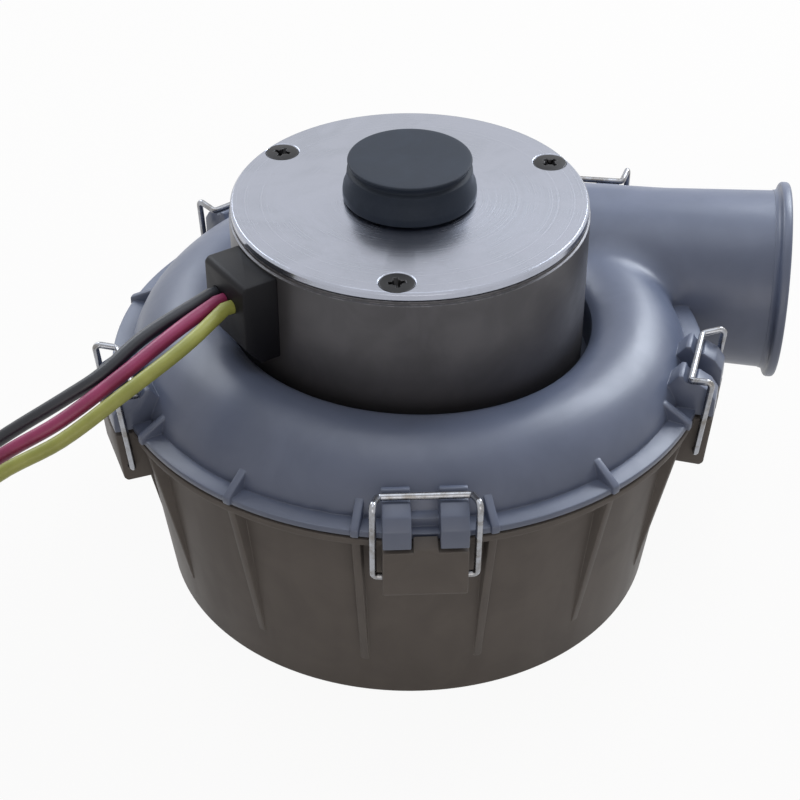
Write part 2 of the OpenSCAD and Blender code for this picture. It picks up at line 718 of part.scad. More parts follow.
module motor_screws() {
    color([0.70, 0.70, 0.72])
    at_motor_screws() translate([0, 0, deck_z + 0.05]) {
        cylinder(r = 1.5, h = deck_t + 2.8);
        cylinder(r1 = 2.8, r2 = 1.4, h = 1.4);
    }
}

module at_plate_screws() {
    for (k = [0:2])
        rotate([0, 0, plate_screw_angle + 120 * k]) translate([plate_screw_circle_r, 0, 0]) children();
}

module motor_can() {
    can_z = deck_top_z + base_t;
    color([0.46, 0.47, 0.50])
    difference() {
        union() {
            translate([0, 0, can_z]) difference() {
                cylinder(r = motor_r, h = plate_z - can_z);
                translate([0, 0, -1]) cylinder(r = can_inner_r, h = 80);
            }
            at_plate_screws() translate([0, 0, board_z + board_t + 0.4])
                cylinder(r = post_r, h = plate_z - board_z - board_t - 0.4);
        }
        at_plate_screws() translate([0, 0, board_z]) cylinder(r = screw_r + fit_gap, h = 40);
        rotate([0, 0, lead_block_angle]) translate([can_inner_r - 4, -6, lead_z - 4]) cube([10, 12, 8]);
    }
}

module top_plate() {
    color([0.66, 0.68, 0.74])
    difference() {
        rotate_extrude()
            polygon([[0, plate_z], [motor_r - 0.3, plate_z], [motor_r, plate_z + 0.3],
                     [motor_r, motor_top_z - 0.4], [motor_r - 0.4, motor_top_z],
                     [boss_r, motor_top_z], [boss_r, boss_top_z - 0.5],
                     [boss_r - 0.5, boss_top_z], [0, boss_top_z]]);
        translate([0, 0, plate_z - 1])
            cylinder(r = bearing_r + fit_gap, h = upper_bearing_z + bearing_w + 0.6 - plate_z + 1);
        translate([0, 0, plate_z]) cylinder(r = shaft_r + 2.2, h = 30);
        at_plate_screws() {
            translate([0, 0, plate_z - 1]) cylinder(r = screw_r + 0.2, h = 10);
            translate([0, 0, motor_top_z - 2.1]) cylinder(r1 = screw_r, r2 = screw_head_r + 0.1, h = 2.11);
        }
    }
}

module plate_screws() {
    color([0.09, 0.09, 0.10])
    at_plate_screws() difference() {
        union() {
            translate([0, 0, motor_top_z - 9]) cylinder(r = screw_r, h = 8.5);
            translate([0, 0, motor_top_z - 2.1])
                cylinder(r1 = screw_r - 0.1, r2 = screw_head_r - 0.05, h = 2.05);
        }
        for (a = [15, 105])
            rotate([0, 0, a]) translate([-2.2, -0.45, motor_top_z - 1.5]) cube([4.4, 0.9, 3]);
    }
}

module rubber_cap() {
    color([0.17, 0.20, 0.24])
    translate([0, 0, motor_top_z]) rotate_extrude()
        polygon(concat([[boss_r + fit_gap, 1.7], [cap_foot_r - 0.4, 1.7], [cap_foot_r, 2.2],
                        [cap_foot_r - 0.2, 3.4], [cap_top_r + 0.3, 5.4]],
                       arc([cap_top_r - 1, cap_h - 1], 1, 0, 90, 4),
                       [[0, cap_h], [0, boss_top_z - motor_top_z + 0.2],
                        [boss_r + fit_gap, boss_top_z - motor_top_z + 0.2]]));
}

module lead_block() {
    low_z = motor_top_z - 24.5;
    high_z = motor_top_z - 3.5;
    color([0.06, 0.06, 0.07])
    rotate([0, 0, lead_block_angle]) {
        difference() {
            rotate([90, 0, 0]) linear_extrude(height = lead_block_w, center = true)
                polygon([[motor_r - 6, low_z], [lead_face_r - 4, low_z], [lead_face_r, low_z + 5],
                         [lead_face_r, high_z - 1], [lead_face_r - 1, high_z], [motor_r - 6, high_z]]);
            translate([0, 0, low_z - 1]) cylinder(r = motor_r + fit_gap, h = 40);
        }
        intersection() {
            translate([can_inner_r - 2, -5.9, lead_z - 3.9]) cube([6, 11.8, 7.8]);
            difference() {
                translate([0, 0, lead_z - 8]) cylinder(r = motor_r + 1, h = 16);
                translate([0, 0, lead_z - 9]) cylinder(r = can_inner_r, h = 18);
            }
        }
    }
}

// Where a lead leaves the block, at a sideways step across its face
function lead_exit(step, out) =
    let (a = lead_block_angle) [(lead_face_r + out) * cos(a) - step * sin(a),
                                (lead_face_r + out) * sin(a) + step * cos(a), lead_z];

function lead_path(step, route) =
    concat([lead_exit(step, 0)], smooth_route(concat([lead_exit(step, 2)], route), 2));

module lead(step, route) {
    swept_wire(lead_path(step, route), lead_d / 2, 8, [0, 0, 1]);
}

module lead_black() {
    color([0.07, 0.08, 0.10]) lead(-lead_gap, black_route);
}

module lead_red() {
    color([0.62, 0.20, 0.42]) lead(0, red_route);
}

module lead_yellow() {
    color([0.70, 0.72, 0.34]) lead(lead_gap, yellow_route);
}

// Stripped and tinned end, in line with the last stretch of its lead
module lead_end(route) {
    last = len(route) - 1;
    d = unit(route[last] - route[last - 1]);
    color([0.76, 0.74, 0.70])
    translate(route[last]) rotate([0, 90, atan2(d[1], d[0])]) cylinder(r = 0.8, h = 8);
}

module black_lead_end() {
    lead_end(black_route);
}

module red_lead_end() {
    lead_end(red_route);
}

module yellow_lead_end() {
    lead_end(yellow_route);
}

// Wire bail: across the hook, back to the legs, down to the pivot and in with two pins
module bail() {
    wire_r = bail_wire_d / 2;
    corners = [[pivot_r, bail_half_w, pivot_z - 0.2], [leg_top_r, bail_half_w, leg_top_z],
               [bar_r, bail_half_w - 1, bar_z]];
    mirrored = [for (i = [2:-1:0]) [corners[i][0], -corners[i][1], corners[i][2]]];
    all_corners = concat(corners, mirrored);
    path = concat([all_corners[0]],
                  [for (i = [1:4]) for (p = rounded_corner(all_corners[i - 1], all_corners[i],
                                                           all_corners[i + 1], 1.3, 4)) p],
                  [all_corners[5]]);
    color([0.74, 0.74, 0.76]) {
        swept_wire(path, wire_r, 10, [1, 0, 0]);
        for (s = [-1, 1])
            translate([pivot_r, s * (bail_half_w + wire_r), pivot_z]) rotate([s * 90, 0, 0])
                cylinder(r = bail_pin_r, h = bail_half_w + wire_r - pad_half_w + pin_depth - 0.3);
    }
}

module bail_front() {
    rotate([0, 0, clip_angles[0]]) bail();
}

module bail_right() {
    rotate([0, 0, clip_angles[1]]) bail();
}

module bail_outlet() {
    at_rear_clip() bail();
}

module bail_rear() {
    rotate([0, 0, clip_angles[2]]) bail();
}

module bail_left() {
    rotate([0, 0, clip_angles[3]]) bail();
}

lower_casing();
mounting_inserts();
rim_seal();
stage_plate();
volute_floor();
upper_casing();
first_impeller();
second_impeller();
impeller_spacer();
impeller_washer();
impeller_nut();
rotor_shaft();
rotor_core();
rotor_magnets();
retaining_ring();
lower_bearing();
upper_bearing();
wave_washer();
stator_core();
stator_windings();
control_board();
board_standoffs();
motor_base();
motor_screws();
motor_can();
top_plate();
plate_screws();
rubber_cap();
lead_block();
lead_black();
lead_red();
lead_yellow();
black_lead_end();
red_lead_end();
yellow_lead_end();
bail_front();
bail_right();
bail_outlet();
bail_rear();
bail_left();
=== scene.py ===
"""Looks of a two-stage DC blower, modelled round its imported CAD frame."""

from __future__ import annotations

import logging
import math
from collections.abc import Callable, Sequence
from dataclasses import dataclass, field
from enum import Enum

import bmesh
import bpy
from mathutils import Matrix, Vector


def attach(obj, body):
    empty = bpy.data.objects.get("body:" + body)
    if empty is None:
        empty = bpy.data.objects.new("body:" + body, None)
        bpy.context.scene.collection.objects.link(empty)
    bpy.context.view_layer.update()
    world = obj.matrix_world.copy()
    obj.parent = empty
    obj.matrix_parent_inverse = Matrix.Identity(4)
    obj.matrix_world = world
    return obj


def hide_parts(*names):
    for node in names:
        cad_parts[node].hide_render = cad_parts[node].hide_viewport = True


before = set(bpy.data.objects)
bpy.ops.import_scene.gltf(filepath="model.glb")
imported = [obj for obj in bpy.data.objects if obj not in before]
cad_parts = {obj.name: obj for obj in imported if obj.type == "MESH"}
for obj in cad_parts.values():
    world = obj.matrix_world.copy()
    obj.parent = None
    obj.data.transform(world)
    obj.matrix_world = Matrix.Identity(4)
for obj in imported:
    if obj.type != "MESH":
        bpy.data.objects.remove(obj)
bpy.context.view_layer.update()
LOG = logging.getLogger("blower")
MM = 0.001
SHARP_FROM = 25
HOUSING = "housing"
Point = tuple[float, float]
Colour = tuple[float, float, float]


def linked(name: str, data: bpy.types.ID) -> bpy.types.Object:
    """Puts a new object in the scene.

    Args:
        name: Name of the object.
        data: Its mesh, curve, camera or lamp.

    Returns:
        The object.
    """
    thing = bpy.data.objects.new(name, data)
    bpy.context.scene.collection.objects.link(thing)
    return thing


def arc(centre: Point, radius: float, start: float, end: float, steps: int) -> list[Point]:
    """Points of a plane arc.

    Args:
        centre: Middle of the arc.
        radius: Radius of the arc.
        start: Angle of the first point, in degrees.
        end: Angle of the last point, in degrees.
        steps: Number of straight stretches.

    Returns:
        The points, first and last included.
    """
    angles = [math.radians(start + (end - start) * i / steps) for i in range(steps + 1)]
    return [(centre[0] + radius * math.cos(a), centre[1] + radius * math.sin(a)) for a in angles]


def smooth_route(points: Sequence[Sequence[float]], steps: int) -> list[Vector]:
    """Runs a smooth curve through a list of points.

    Args:
        points: Points that the curve passes through.
        steps: Number of stretches between one point and the next.

    Returns:
        The points of the curve.
    """
    given = [Vector(p) for p in points]
    padded = [2 * given[0] - given[1], *given, 2 * given[-1] - given[-2]]
    route: list[Vector] = []
    for a, b, c, d in zip(padded, padded[1:], padded[2:], padded[3:]):
        for k in range(steps):
            t = k / steps
            route.append(0.5 * (2 * b + (c - a) * t + (2 * a - 5 * b + 4 * c - d) * t * t
                                + (3 * b - a - 3 * c + d) * t * t * t))
    return route + [given[-1]]


def rounded_path(corners: Sequence[Vector], radius: float, steps: int) -> list[Vector]:
    """Rounds every inner corner of a path of straight stretches.

    Args:
        corners: Corners of the path, with both ends.
        radius: Radius of each rounding.
        steps: Number of stretches in each rounding.

    Returns:
        The points of the rounded path.
    """
    path = [corners[0]]
    for a, b, c in zip(corners, corners[1:], corners[2:]):
        u, v = (a - b).normalized(), (c - b).normalized()
        half = u.angle(v) / 2
        reach = radius / math.tan(half)
        middle = b + (u + v).normalized() * radius / math.sin(half)
        first, last = (b + u * reach - middle), (b + v * reach - middle)
        path += [middle + first.slerp(last, i / steps) for i in range(steps + 1)]
    return path + [corners[-1]]


def path_frames(path: Sequence[Vector]) -> list[Matrix]:
    """Places a section square to a path at each of its points, without a twist.

    Args:
        path: Points of the path.

    Returns:
        One matrix a point, whose Z direction runs along the path.
    """
    frames: list[Matrix] = []
    side = None
    for i, point in enumerate(path):
        along = (path[min(i + 1, len(path) - 1)] - path[max(i - 1, 0)]).normalized()
        if side is None:
            side = along.orthogonal()
        side = (side - along * side.dot(along)).normalized()
        turn = Matrix((side, along.cross(side), along)).transposed()
        frames.append(Matrix.Translation(point) @ turn.to_4x4())
    return frames


class Shape:
    """A closed solid in millimetres, shaped with bmesh operators."""

    def __init__(self) -> None:
        """Starts an empty solid."""
        self.bm = bmesh.new()

    @classmethod
    def turned(cls, profile: Sequence[Point], steps: int = 128, ring: bool = False) -> Shape:
        """Turns a profile of radius and height about Z.

        Args:
            profile: Points of the profile. Without a ring, both ends lie on the axis.
            steps: Number of steps round the axis.
            ring: Whether the last point joins the first.

        Returns:
            The turned solid.
        """
        shape = cls()
        verts = [shape.bm.verts.new((r, 0, z)) for r, z in profile]
        pairs = list(zip(verts, verts[1:])) + ([(verts[-1], verts[0])] if ring else [])
        edges = [shape.bm.edges.new(pair) for pair in pairs]
        bmesh.ops.spin(shape.bm, geom=verts + edges, cent=(0, 0, 0), axis=(0, 0, 1),
                       angle=math.tau, steps=steps, use_merge=True, use_duplicate=False)
        return shape.closed()

    @classmethod
    def prism(cls, outline: Sequence[Point], low: float, high: float) -> Shape:
        """Raises an outline in X and Y from one height to another.

        Args:
            outline: Corners of the outline.
            low: Height of the underside.
            high: Height of the top.

        Returns:
            The prism.
        """
        shape = cls()
        face = shape.bm.faces.new([shape.bm.verts.new((x, y, low)) for x, y in outline])
        raised = bmesh.ops.extrude_face_region(shape.bm, geom=[face])["geom"]
        verts = [part for part in raised if isinstance(part, bmesh.types.BMVert)]
        bmesh.ops.translate(shape.bm, vec=(0, 0, high - low), verts=verts)
        return shape.closed()

    @classmethod
    def rod(cls, low_r: float, high_r: float, low: float, high: float, sides: int = 96) -> Shape:
        """Makes an upright rod or cone about Z.

        Args:
            low_r: Radius at the lower end.
            high_r: Radius at the upper end.
            low: Height of the lower end.
            high: Height of the upper end.
            sides: Number of sides.

        Returns:
            The rod.
        """
        shape = cls()
        bmesh.ops.create_cone(shape.bm, cap_ends=True, cap_tris=False, segments=sides,
                              radius1=low_r, radius2=high_r, depth=high - low)
        return shape.moved(0, 0, (low + high) / 2)

    @classmethod
    def block(cls, low: Sequence[float], high: Sequence[float]) -> Shape:
        """Makes a block between two corners.

        Args:
            low: Lowest corner.
            high: Highest corner.

        Returns:
            The block.
        """
        shape = cls()
        bmesh.ops.create_cube(shape.bm, size=1)
        bmesh.ops.scale(shape.bm, vec=[h - l for l, h in zip(low, high)], verts=shape.bm.verts)
        return shape.moved(*[(l + h) / 2 for l, h in zip(low, high)])

    @classmethod
    def swept(cls, path: Sequence[Vector], radius: float, sides: int = 16) -> Shape:
        """Carries a round section along a path.

        Args:
            path: Points of the path.
            radius: Radius of the section.
            sides: Number of sides of the section.

        Returns:
            The wire, closed at both ends.
        """
        shape = cls()
        frames = path_frames(path)
        bmesh.ops.create_circle(shape.bm, cap_ends=True, cap_tris=False, radius=radius,
                                segments=sides)
        bmesh.ops.transform(shape.bm, matrix=frames[0], verts=shape.bm.verts)
        face = list(shape.bm.faces)[0]
        for before, after in zip(frames, frames[1:]):
            raised = bmesh.ops.extrude_face_region(shape.bm, geom=[face])["geom"]
            face = next(part for part in raised if isinstance(part, bmesh.types.BMFace))
            bmesh.ops.transform(shape.bm, matrix=after @ before.inverted(),
                                verts=list(face.verts))
        return shape.closed()

    @classmethod
    def stationed(cls, rings: Sequence[Sequence[Sequence[float]]]) -> Shape:
        """Extrudes a section from station to station while it changes.

        Args:
            rings: The section's points at each station, in the same order.

        Returns:
            The solid through all the stations.
        """
        shape = cls()
        tag = shape.bm.verts.layers.int.new("place")
        verts = [shape.bm.verts.new(point) for point in rings[0]]
        for place, vert in enumerate(verts):
            vert[tag] = place
        face = shape.bm.faces.new(verts)
        for ring in rings[1:]:
            raised = bmesh.ops.extrude_face_region(shape.bm, geom=[face])["geom"]
            face = next(part for part in raised if isinstance(part, bmesh.types.BMFace))
            for vert in face.verts:
                vert.co = ring[vert[tag]]
        return shape.closed()

    def closed(self) -> Shape:
        """Merges doubled points and turns every face outwards.

        Returns:
            The same solid.
        """
        bmesh.ops.remove_doubles(self.bm, verts=self.bm.verts, dist=1e-4)
        bmesh.ops.recalc_face_normals(self.bm, faces=self.bm.faces)
        return self

    def copied(self) -> Shape:
        """Returns a second solid of the same shape.

        Returns:
            The second solid.
        """
        twin = Shape()
        twin.bm = self.bm.copy()
        return twin

    def transformed(self, matrix: Matrix) -> Shape:
        """Carries the solid along with a matrix."""
        bmesh.ops.transform(self.bm, matrix=matrix, verts=self.bm.verts)
        return self

    def moved(self, x: float, y: float, z: float) -> Shape:
        """Moves the solid."""
        return self.transformed(Matrix.Translation((x, y, z)))

    def rotated(self, degrees: float, axis: str = "Z") -> Shape:
        """Turns the solid about an axis through the origin."""
        return self.transformed(Matrix.Rotation(math.radians(degrees), 4, axis))

    def with_copies(self, angles: Sequence[float]) -> Shape:
        """Repeats the solid at each of several angles about Z.

        Args:
            angles: Row angles of the copies, in degrees.

        Returns:
            One shape that holds the copies as separate shells.
        """
        group = Shape()
        for angle in angles:
            group.joined(self.copied().rotated(angle))
        return group

    def joined(self, *others: Shape) -> Shape:
        """Takes other solids in as separate shells.

        Args:
            others: The other solids.

        Returns:
            The same solid.
        """
        for other in others:
            mesh = bpy.data.meshes.new("joining")
            other.bm.to_mesh(mesh)
            self.bm.from_mesh(mesh)
            bpy.data.meshes.remove(mesh)
        return self

    def bevelled(self, width: float) -> Shape:
        """Rounds the sharp edges, with two faces across each rounding.

        Args:
            width: Width of each rounding.

        Returns:
            The same solid.
        """
        edges = [e for e in self.bm.edges
                 if e.is_manifold and e.calc_face_angle() > math.radians(SHARP_FROM)]
        bmesh.ops.bevel(self.bm, geom=edges, offset=width, offset_type="OFFSET",
                        segments=2, profile=0.5, affect="EDGES", clamp_overlap=True,
                        loop_slide=True, material=-1)
        return self

    def _held(self, name: str) -> bpy.types.Object:
        """Puts the solid in a scratch object.

        Args:
            name: Name of the scratch object.

        Returns:
            The scratch object.
        """
        mesh = bpy.data.meshes.new(name)
        self.bm.to_mesh(mesh)
        return linked(name, mesh)

    def _taken_back(self, held: bpy.types.Object) -> None:
        """Reads the solid back from a scratch object with its modifiers applied.

        Args:
            held: The scratch object.
        """
        graph = bpy.context.evaluated_depsgraph_get()
        mesh = bpy.data.meshes.new_from_object(held.evaluated_get(graph))
        self.bm.clear()
        self.bm.from_mesh(mesh)
        bpy.data.meshes.remove(mesh)

    @staticmethod
    def _dropped(*held: bpy.types.Object) -> None:
        """Removes scratch objects and their meshes.

        Args:
            held: The scratch objects.
        """
        for thing in held:
            mesh = thing.data
            bpy.data.objects.remove(thing)
            bpy.data.meshes.remove(mesh)

    def _combined(self, operation: str, others: Sequence[Shape]) -> Shape:
        """Combines the solid with others, one after the other.

        Args:
            operation: Name of the modifier's operation.
            others: The other solids.

        Returns:
            The same solid.
        """
        for other in others:
            first, second = self._held("first"), other._held("second")
            modifier = first.modifiers.new("combine", "BOOLEAN")
            modifier.operation, modifier.solver, modifier.object = operation, "MANIFOLD", second
            self._taken_back(first)
            self._dropped(first, second)
            if not self.bm.faces:
                raise ValueError(f"{operation} left nothing")
        return self

    def fused(self, *others: Shape) -> Shape:
        """Adds other solids."""
        return self._combined("UNION", others)

    def cut(self, *others: Shape) -> Shape:
        """Takes other solids away."""
        return self._combined("DIFFERENCE", others)

    def kept_in(self, *others: Shape) -> Shape:
        """Keeps only what lies in other solids."""
        return self._combined("INTERSECT", others)

    def remeshed(self, voxel: float) -> Shape:
        """Merges overlapping shells into one even skin.

        Args:
            voxel: Size of the skin's squares.

        Returns:
            The same solid.
        """
        held = self._held("skin")
        modifier = held.modifiers.new("skin", "REMESH")
        modifier.mode, modifier.voxel_size = "VOXEL", voxel
        self._taken_back(held)
        self._dropped(held)
        return self

    def _eased(self, verts: Sequence[bmesh.types.BMVert]) -> None:
        """Moves points halfway to the middle of their neighbours."""
        bmesh.ops.smooth_vert(self.bm, verts=verts, factor=0.5,
                              use_axis_x=True, use_axis_y=True, use_axis_z=True)

    def smoothed(self, rounds: int, chosen: Callable[[Vector], bool]) -> Shape:
        """Evens out the skin.

        Args:
            rounds: Number of times that the skin is evened out.
            chosen: Test that a point's place has to pass.

        Returns:
            The same solid.
        """
        verts = [v for v in self.bm.verts if chosen(v.co)]
        for _ in range(rounds):
            self._eased(verts)
        return self

    def filled_in(self, rounds: int, chosen: Callable[[Vector], bool]) -> Shape:
        """Fills hollows of the skin, and leaves what bulges as it is.

        Args:
            rounds: Number of times that the skin is evened out.
            chosen: Test that a point's place has to pass.

        Returns:
            The same solid.
        """
        verts = [v for v in self.bm.verts if chosen(v.co)]
        for _ in range(rounds):
            self.bm.normal_update()
            before = [(v, v.co.copy(), v.normal.copy()) for v in verts]
            self._eased(verts)
            for vert, place, normal in before:
                if (vert.co - place).dot(normal) < 0:
                    vert.co = place
        return self

    def to_object(self, name: str, sharp: float) -> bpy.types.Object:
        """Makes the finished piece, in metres, with its object at the origin.

        Args:
            name: Name of the piece.
            sharp: Angle between two faces from which their edge shows, in degrees.

        Returns:
            The piece.
        """
        bmesh.ops.scale(self.bm, vec=(MM, MM, MM), verts=self.bm.verts)
        mesh = bpy.data.meshes.new(name)
        self.bm.to_mesh(mesh)
        self.bm.free()
        mesh.polygons.foreach_set("use_smooth", [True] * len(mesh.polygons))
        mesh.set_sharp_from_angle(angle=math.radians(sharp))
        return linked(name, mesh)


class Signal:
    """A number that changes over a surface, for sums in Python."""

    def __init__(self, bench: Bench, socket: bpy.types.NodeSocket) -> None:
        """Wraps a socket of a bench."""
        self.bench = bench
        self.socket = socket

    def _sum(self, operation: str, first: Number, second: Number) -> Signal:
        """Adds one Math node."""
        node = self.bench.node("Math", {"operation": operation}, {0: first, 1: second})
        return Signal(self.bench, node.outputs[0])

    def __add__(self, other: Number) -> Signal:
        """Adds."""
        return self._sum("ADD", self, other)

    __radd__ = __add__

    def __sub__(self, other: Number) -> Signal:
        """Takes away."""
        return self._sum("SUBTRACT", self, other)

    def __rsub__(self, other: Number) -> Signal:
        """Is taken away."""
        return self._sum("SUBTRACT", other, self)

    def __mul__(self, other: Number) -> Signal:
        """Multiplies."""
        return self._sum("MULTIPLY", self, other)

    __rmul__ = __mul__

    def __pow__(self, other: Number) -> Signal:
        """Raises to a power."""
        return self._sum("POWER", self, other)

    def at_least(self, other: Number) -> Signal:
        """Takes the larger of two."""
        return self._sum("MAXIMUM", self, other)

    def waved(self) -> Signal:
        """Takes the sine."""
        return self._sum("SINE", self, 0.0)


Number = Signal | float


class Bench:
    """The node tree of one finish or world, with the patterns that finishes share."""

    def __init__(self, name: str, world: bool = False) -> None:
        """Starts an empty material or world.

        Args:
            name: Its name.
            world: Whether it is a world.
        """
        self.owner = (bpy.data.worlds if world else bpy.data.materials).new(name)
        self.owner.use_nodes = True
        self.tree = self.owner.node_tree
        self.tree.nodes.clear()

    def node(self, kind: str, settings: dict | None = None,
             inputs: dict | None = None) -> bpy.types.Node:
        """Adds a node.

        Args:
            kind: The node's type, without its common first part.
            settings: Its settings. Stops are a ramp's places and grey levels.
            inputs: Values or signals by socket.

        Returns:
            The node.
        """
        node = self.tree.nodes.new("ShaderNode" + kind)
        for name, value in (settings or {}).items():
            if name == "stops":
                for place, level in value[1:-1]:
                    node.color_ramp.elements.new(place).color = (level, level, level, 1)
                for end in (0, -1):
                    node.color_ramp.elements[end].position = value[end][0]
                    node.color_ramp.elements[end].color = (*[value[end][1]] * 3, 1)
            else:
                setattr(node, name, value)
        for name, value in (inputs or {}).items():
            if isinstance(value, Signal):
                self.tree.links.new(value.socket, node.inputs[name])
            else:
                node.inputs[name].default_value = value
        return node

    def signal(self, kind: str, settings: dict | None = None, inputs: dict | None = None,
               output: str | int = 0) -> Signal:
        """Adds a node and returns one of its outputs."""
        return Signal(self, self.node(kind, settings, inputs).outputs[output])

    def place(self, stretch: Sequence[float] = (1, 1, 1)) -> Signal:
        """Gives the place on the piece in millimetres, squeezed along chosen directions.

        Args:
            stretch: How much the place is squeezed along X, Y and Z.

        Returns:
            The place.
        """
        where = self.signal("TexCoord", output="Object")
        scale = tuple(part / MM for part in stretch)
        return self.signal("VectorMath", {"operation": "MULTIPLY"}, {0: where, 1: scale})

    def noise(self, size: float, detail: float = 2, rough: float = 0.5,
              stretch: Sequence[float] = (1, 1, 1), bend: float = 0) -> Signal:
        """Makes a cloudy pattern.

        Args:
            size: Size of its patches, in millimetres.
            detail: Number of finer layers.
            rough: Strength of the finer layers.
            stretch: How much it is squeezed along X, Y and Z.
            bend: How far it is distorted.

        Returns:
            Values round one half.
        """
        return self.signal("TexNoise", {}, {"Vector": self.place(stretch), "Scale": 1 / size,
                                            "Detail": detail, "Roughness": rough,
                                            "Distortion": bend})

    def radius(self) -> Signal:
        """Gives the distance from the Z axis in millimetres.

        Returns:
            The distance.
        """
        parts = self.node("SeparateXYZ", {}, {0: self.place()})
        x, y = (Signal(self, parts.outputs[i]) for i in (0, 1))
        return (x * x + y * y) ** 0.5

    def height(self) -> Signal:
        """Gives the height in millimetres."""
        return self.signal("SeparateXYZ", {}, {0: self.place()}, output=2)

    def seen(self) -> Signal:
        """Is one for what the camera sees, straight or in a mirror or through glass.

        Returns:
            One or nought.
        """
        camera, glossy, clear = (self.signal("LightPath", output=f"Is {kind} Ray")
                                 for kind in ("Camera", "Glossy", "Transmission"))
        return camera.at_least(glossy).at_least(clear)

    def step(self, value: Signal, low: float, high: float) -> Signal:
        """Turns a range of values smoothly into nought to one."""
        return self.signal("MapRange", {"interpolation_type": "SMOOTHSTEP"},
                           {"Value": value, "From Min": low, "From Max": high})

    def mixed(self, factor: Number, first: Colour | Signal, second: Colour | Signal) -> Signal:
        """Mixes two colours.

        Args:
            factor: Share of the second colour.
            first: First colour.
            second: Second colour.

        Returns:
            The mixed colour.
        """
        pair = [c if isinstance(c, Signal) else (*c, 1) for c in (first, second)]
        return self.signal("Mix", {"data_type": "RGBA"},
                           {0: factor, 6: pair[0], 7: pair[1]}, output=2)

    def soft_normal(self, width: float) -> Signal:
        """Gives a normal that rounds edges over a width in millimetres."""
        return self.signal("Bevel", {"samples": 4}, {"Radius": width * MM})

    def edges(self, width: float) -> Signal:
        """Marks the edges of the piece, from nought on its faces to about one.

        Args:
            width: Width of the mark, in millimetres.

        Returns:
            The mark.
        """
        real = self.signal("NewGeometry", output="Normal")
        same = self.signal("VectorMath", {"operation": "DOT_PRODUCT"},
                           {0: real, 1: self.soft_normal(width)}, output="Value")
        return self.step(1 - same, 0.0, 0.14)

    def bump(self, height: Signal, depth: float, normal: Signal | None = None) -> Signal:
        """Presses a pattern into the surface.

        Args:
            height: The pattern.
            depth: Height of the pattern from nought to one, in millimetres.
            normal: Normal under it.

        Returns:
            The new normal.
        """
        inputs: dict = {"Height": height, "Distance": depth * MM, "Strength": 1.0}
        if normal is not None:
            inputs["Normal"] = normal
        return self.signal("Bump", {}, inputs)

    def surfaced(self, **sockets: Number | Signal | Colour) -> bpy.types.Material:
        """Ends the material with its shader.

        Args:
            sockets: The shader's sockets by name, with _ for a space.

        Returns:
            The material.
        """
        inputs = {}
        for name, value in sockets.items():
            colour = isinstance(value, tuple)
            inputs[name.replace("_", " ")] = (*value, 1) if colour else value
        shader = self.signal("BsdfPrincipled", {}, inputs)
        self.node("OutputMaterial", {}, {"Surface": shader})
        return self.owner


@dataclass(frozen=True)
class MouldedPlastic:
    """Injection moulded plastic: a fine grain, cloudy flow marks, and edges lightened in patches,
    a painted highlight mixed with wear.
    """

    name: str
    colour: Colour
    shade: Colour
    light: Colour
    roughness: float = 0.42
    grain: float = 0.006
    specular: float = 0.5

    def material(self) -> bpy.types.Material:
        """Builds the finish.

        Returns:
            The material.
        """
        bench = Bench(self.name)
        cloud = bench.noise(16, 3, 0.55, bend=0.6)
        flow = bench.noise(7, 2, 0.5, (1, 1, 0.25), 0.4)
        fine = bench.noise(0.35, 2, 0.6)
        scuff = bench.step(bench.noise(2.4, 4, 0.7, (0.12, 0.9, 0.9)), 0.62, 0.72)
        rim = bench.edges(0.45)
        colour = bench.mixed(bench.step(cloud * 0.7 + flow * 0.3, 0.34, 0.66),
                             self.colour, self.shade)
        # Lightens the edges in patches toward the edge colour: a painted highlight along the
        # edges, mixed with wear.
        colour = bench.mixed(rim * bench.step(cloud, 0.3, 0.7) * 0.55, colour, self.light)
        rough = self.roughness + (flow - 0.5) * 0.14 + scuff * 0.08 + (fine - 0.5) * 0.06
        normal = bench.bump(fine, self.grain, bench.soft_normal(0.35))
        normal = bench.bump(flow, 0.02, normal)
        return bench.surfaced(Base_Color=colour, Roughness=rough, Normal=normal,
                              Specular_IOR_Level=self.specular)


@dataclass(frozen=True)
class TurnedMetal:
    """Metal turned on a lathe: rings from the tool, satin, with faint stains."""

    name: str
    colour: Colour
    shade: Colour
    roughness: float = 0.34
    pitch: float = 0.16
    depth: float = 0.0012

    def material(self) -> bpy.types.Material:
        """Builds the finish.

        Returns:
            The material.
        """
        bench = Bench(self.name)
        radius = bench.radius()
        rings = (radius * (math.tau / self.pitch)).waved() * 0.5 + 0.5
        bands = bench.signal("TexNoise", {"noise_dimensions": "1D"}, {
            "W": radius * 2.1, "Scale": 1.0, "Detail": 3.0, "Roughness": 0.7})
        stain = bench.noise(18, 3, 0.6, bend=1.2)
        fine = bench.noise(0.2, 2, 0.6)
        colour = bench.mixed(bench.step(stain, 0.35, 0.7), self.colour, self.shade)
        rough = self.roughness + (stain - 0.5) * 0.12 + (bands - 0.5) * 0.16
        normal = bench.bump(rings * 0.5 + bands * 0.5, self.depth, bench.soft_normal(0.25))
        normal = bench.bump(fine, 0.001, normal)
        return bench.surfaced(Base_Color=colour, Roughness=rough, Metallic=1.0, Normal=normal)


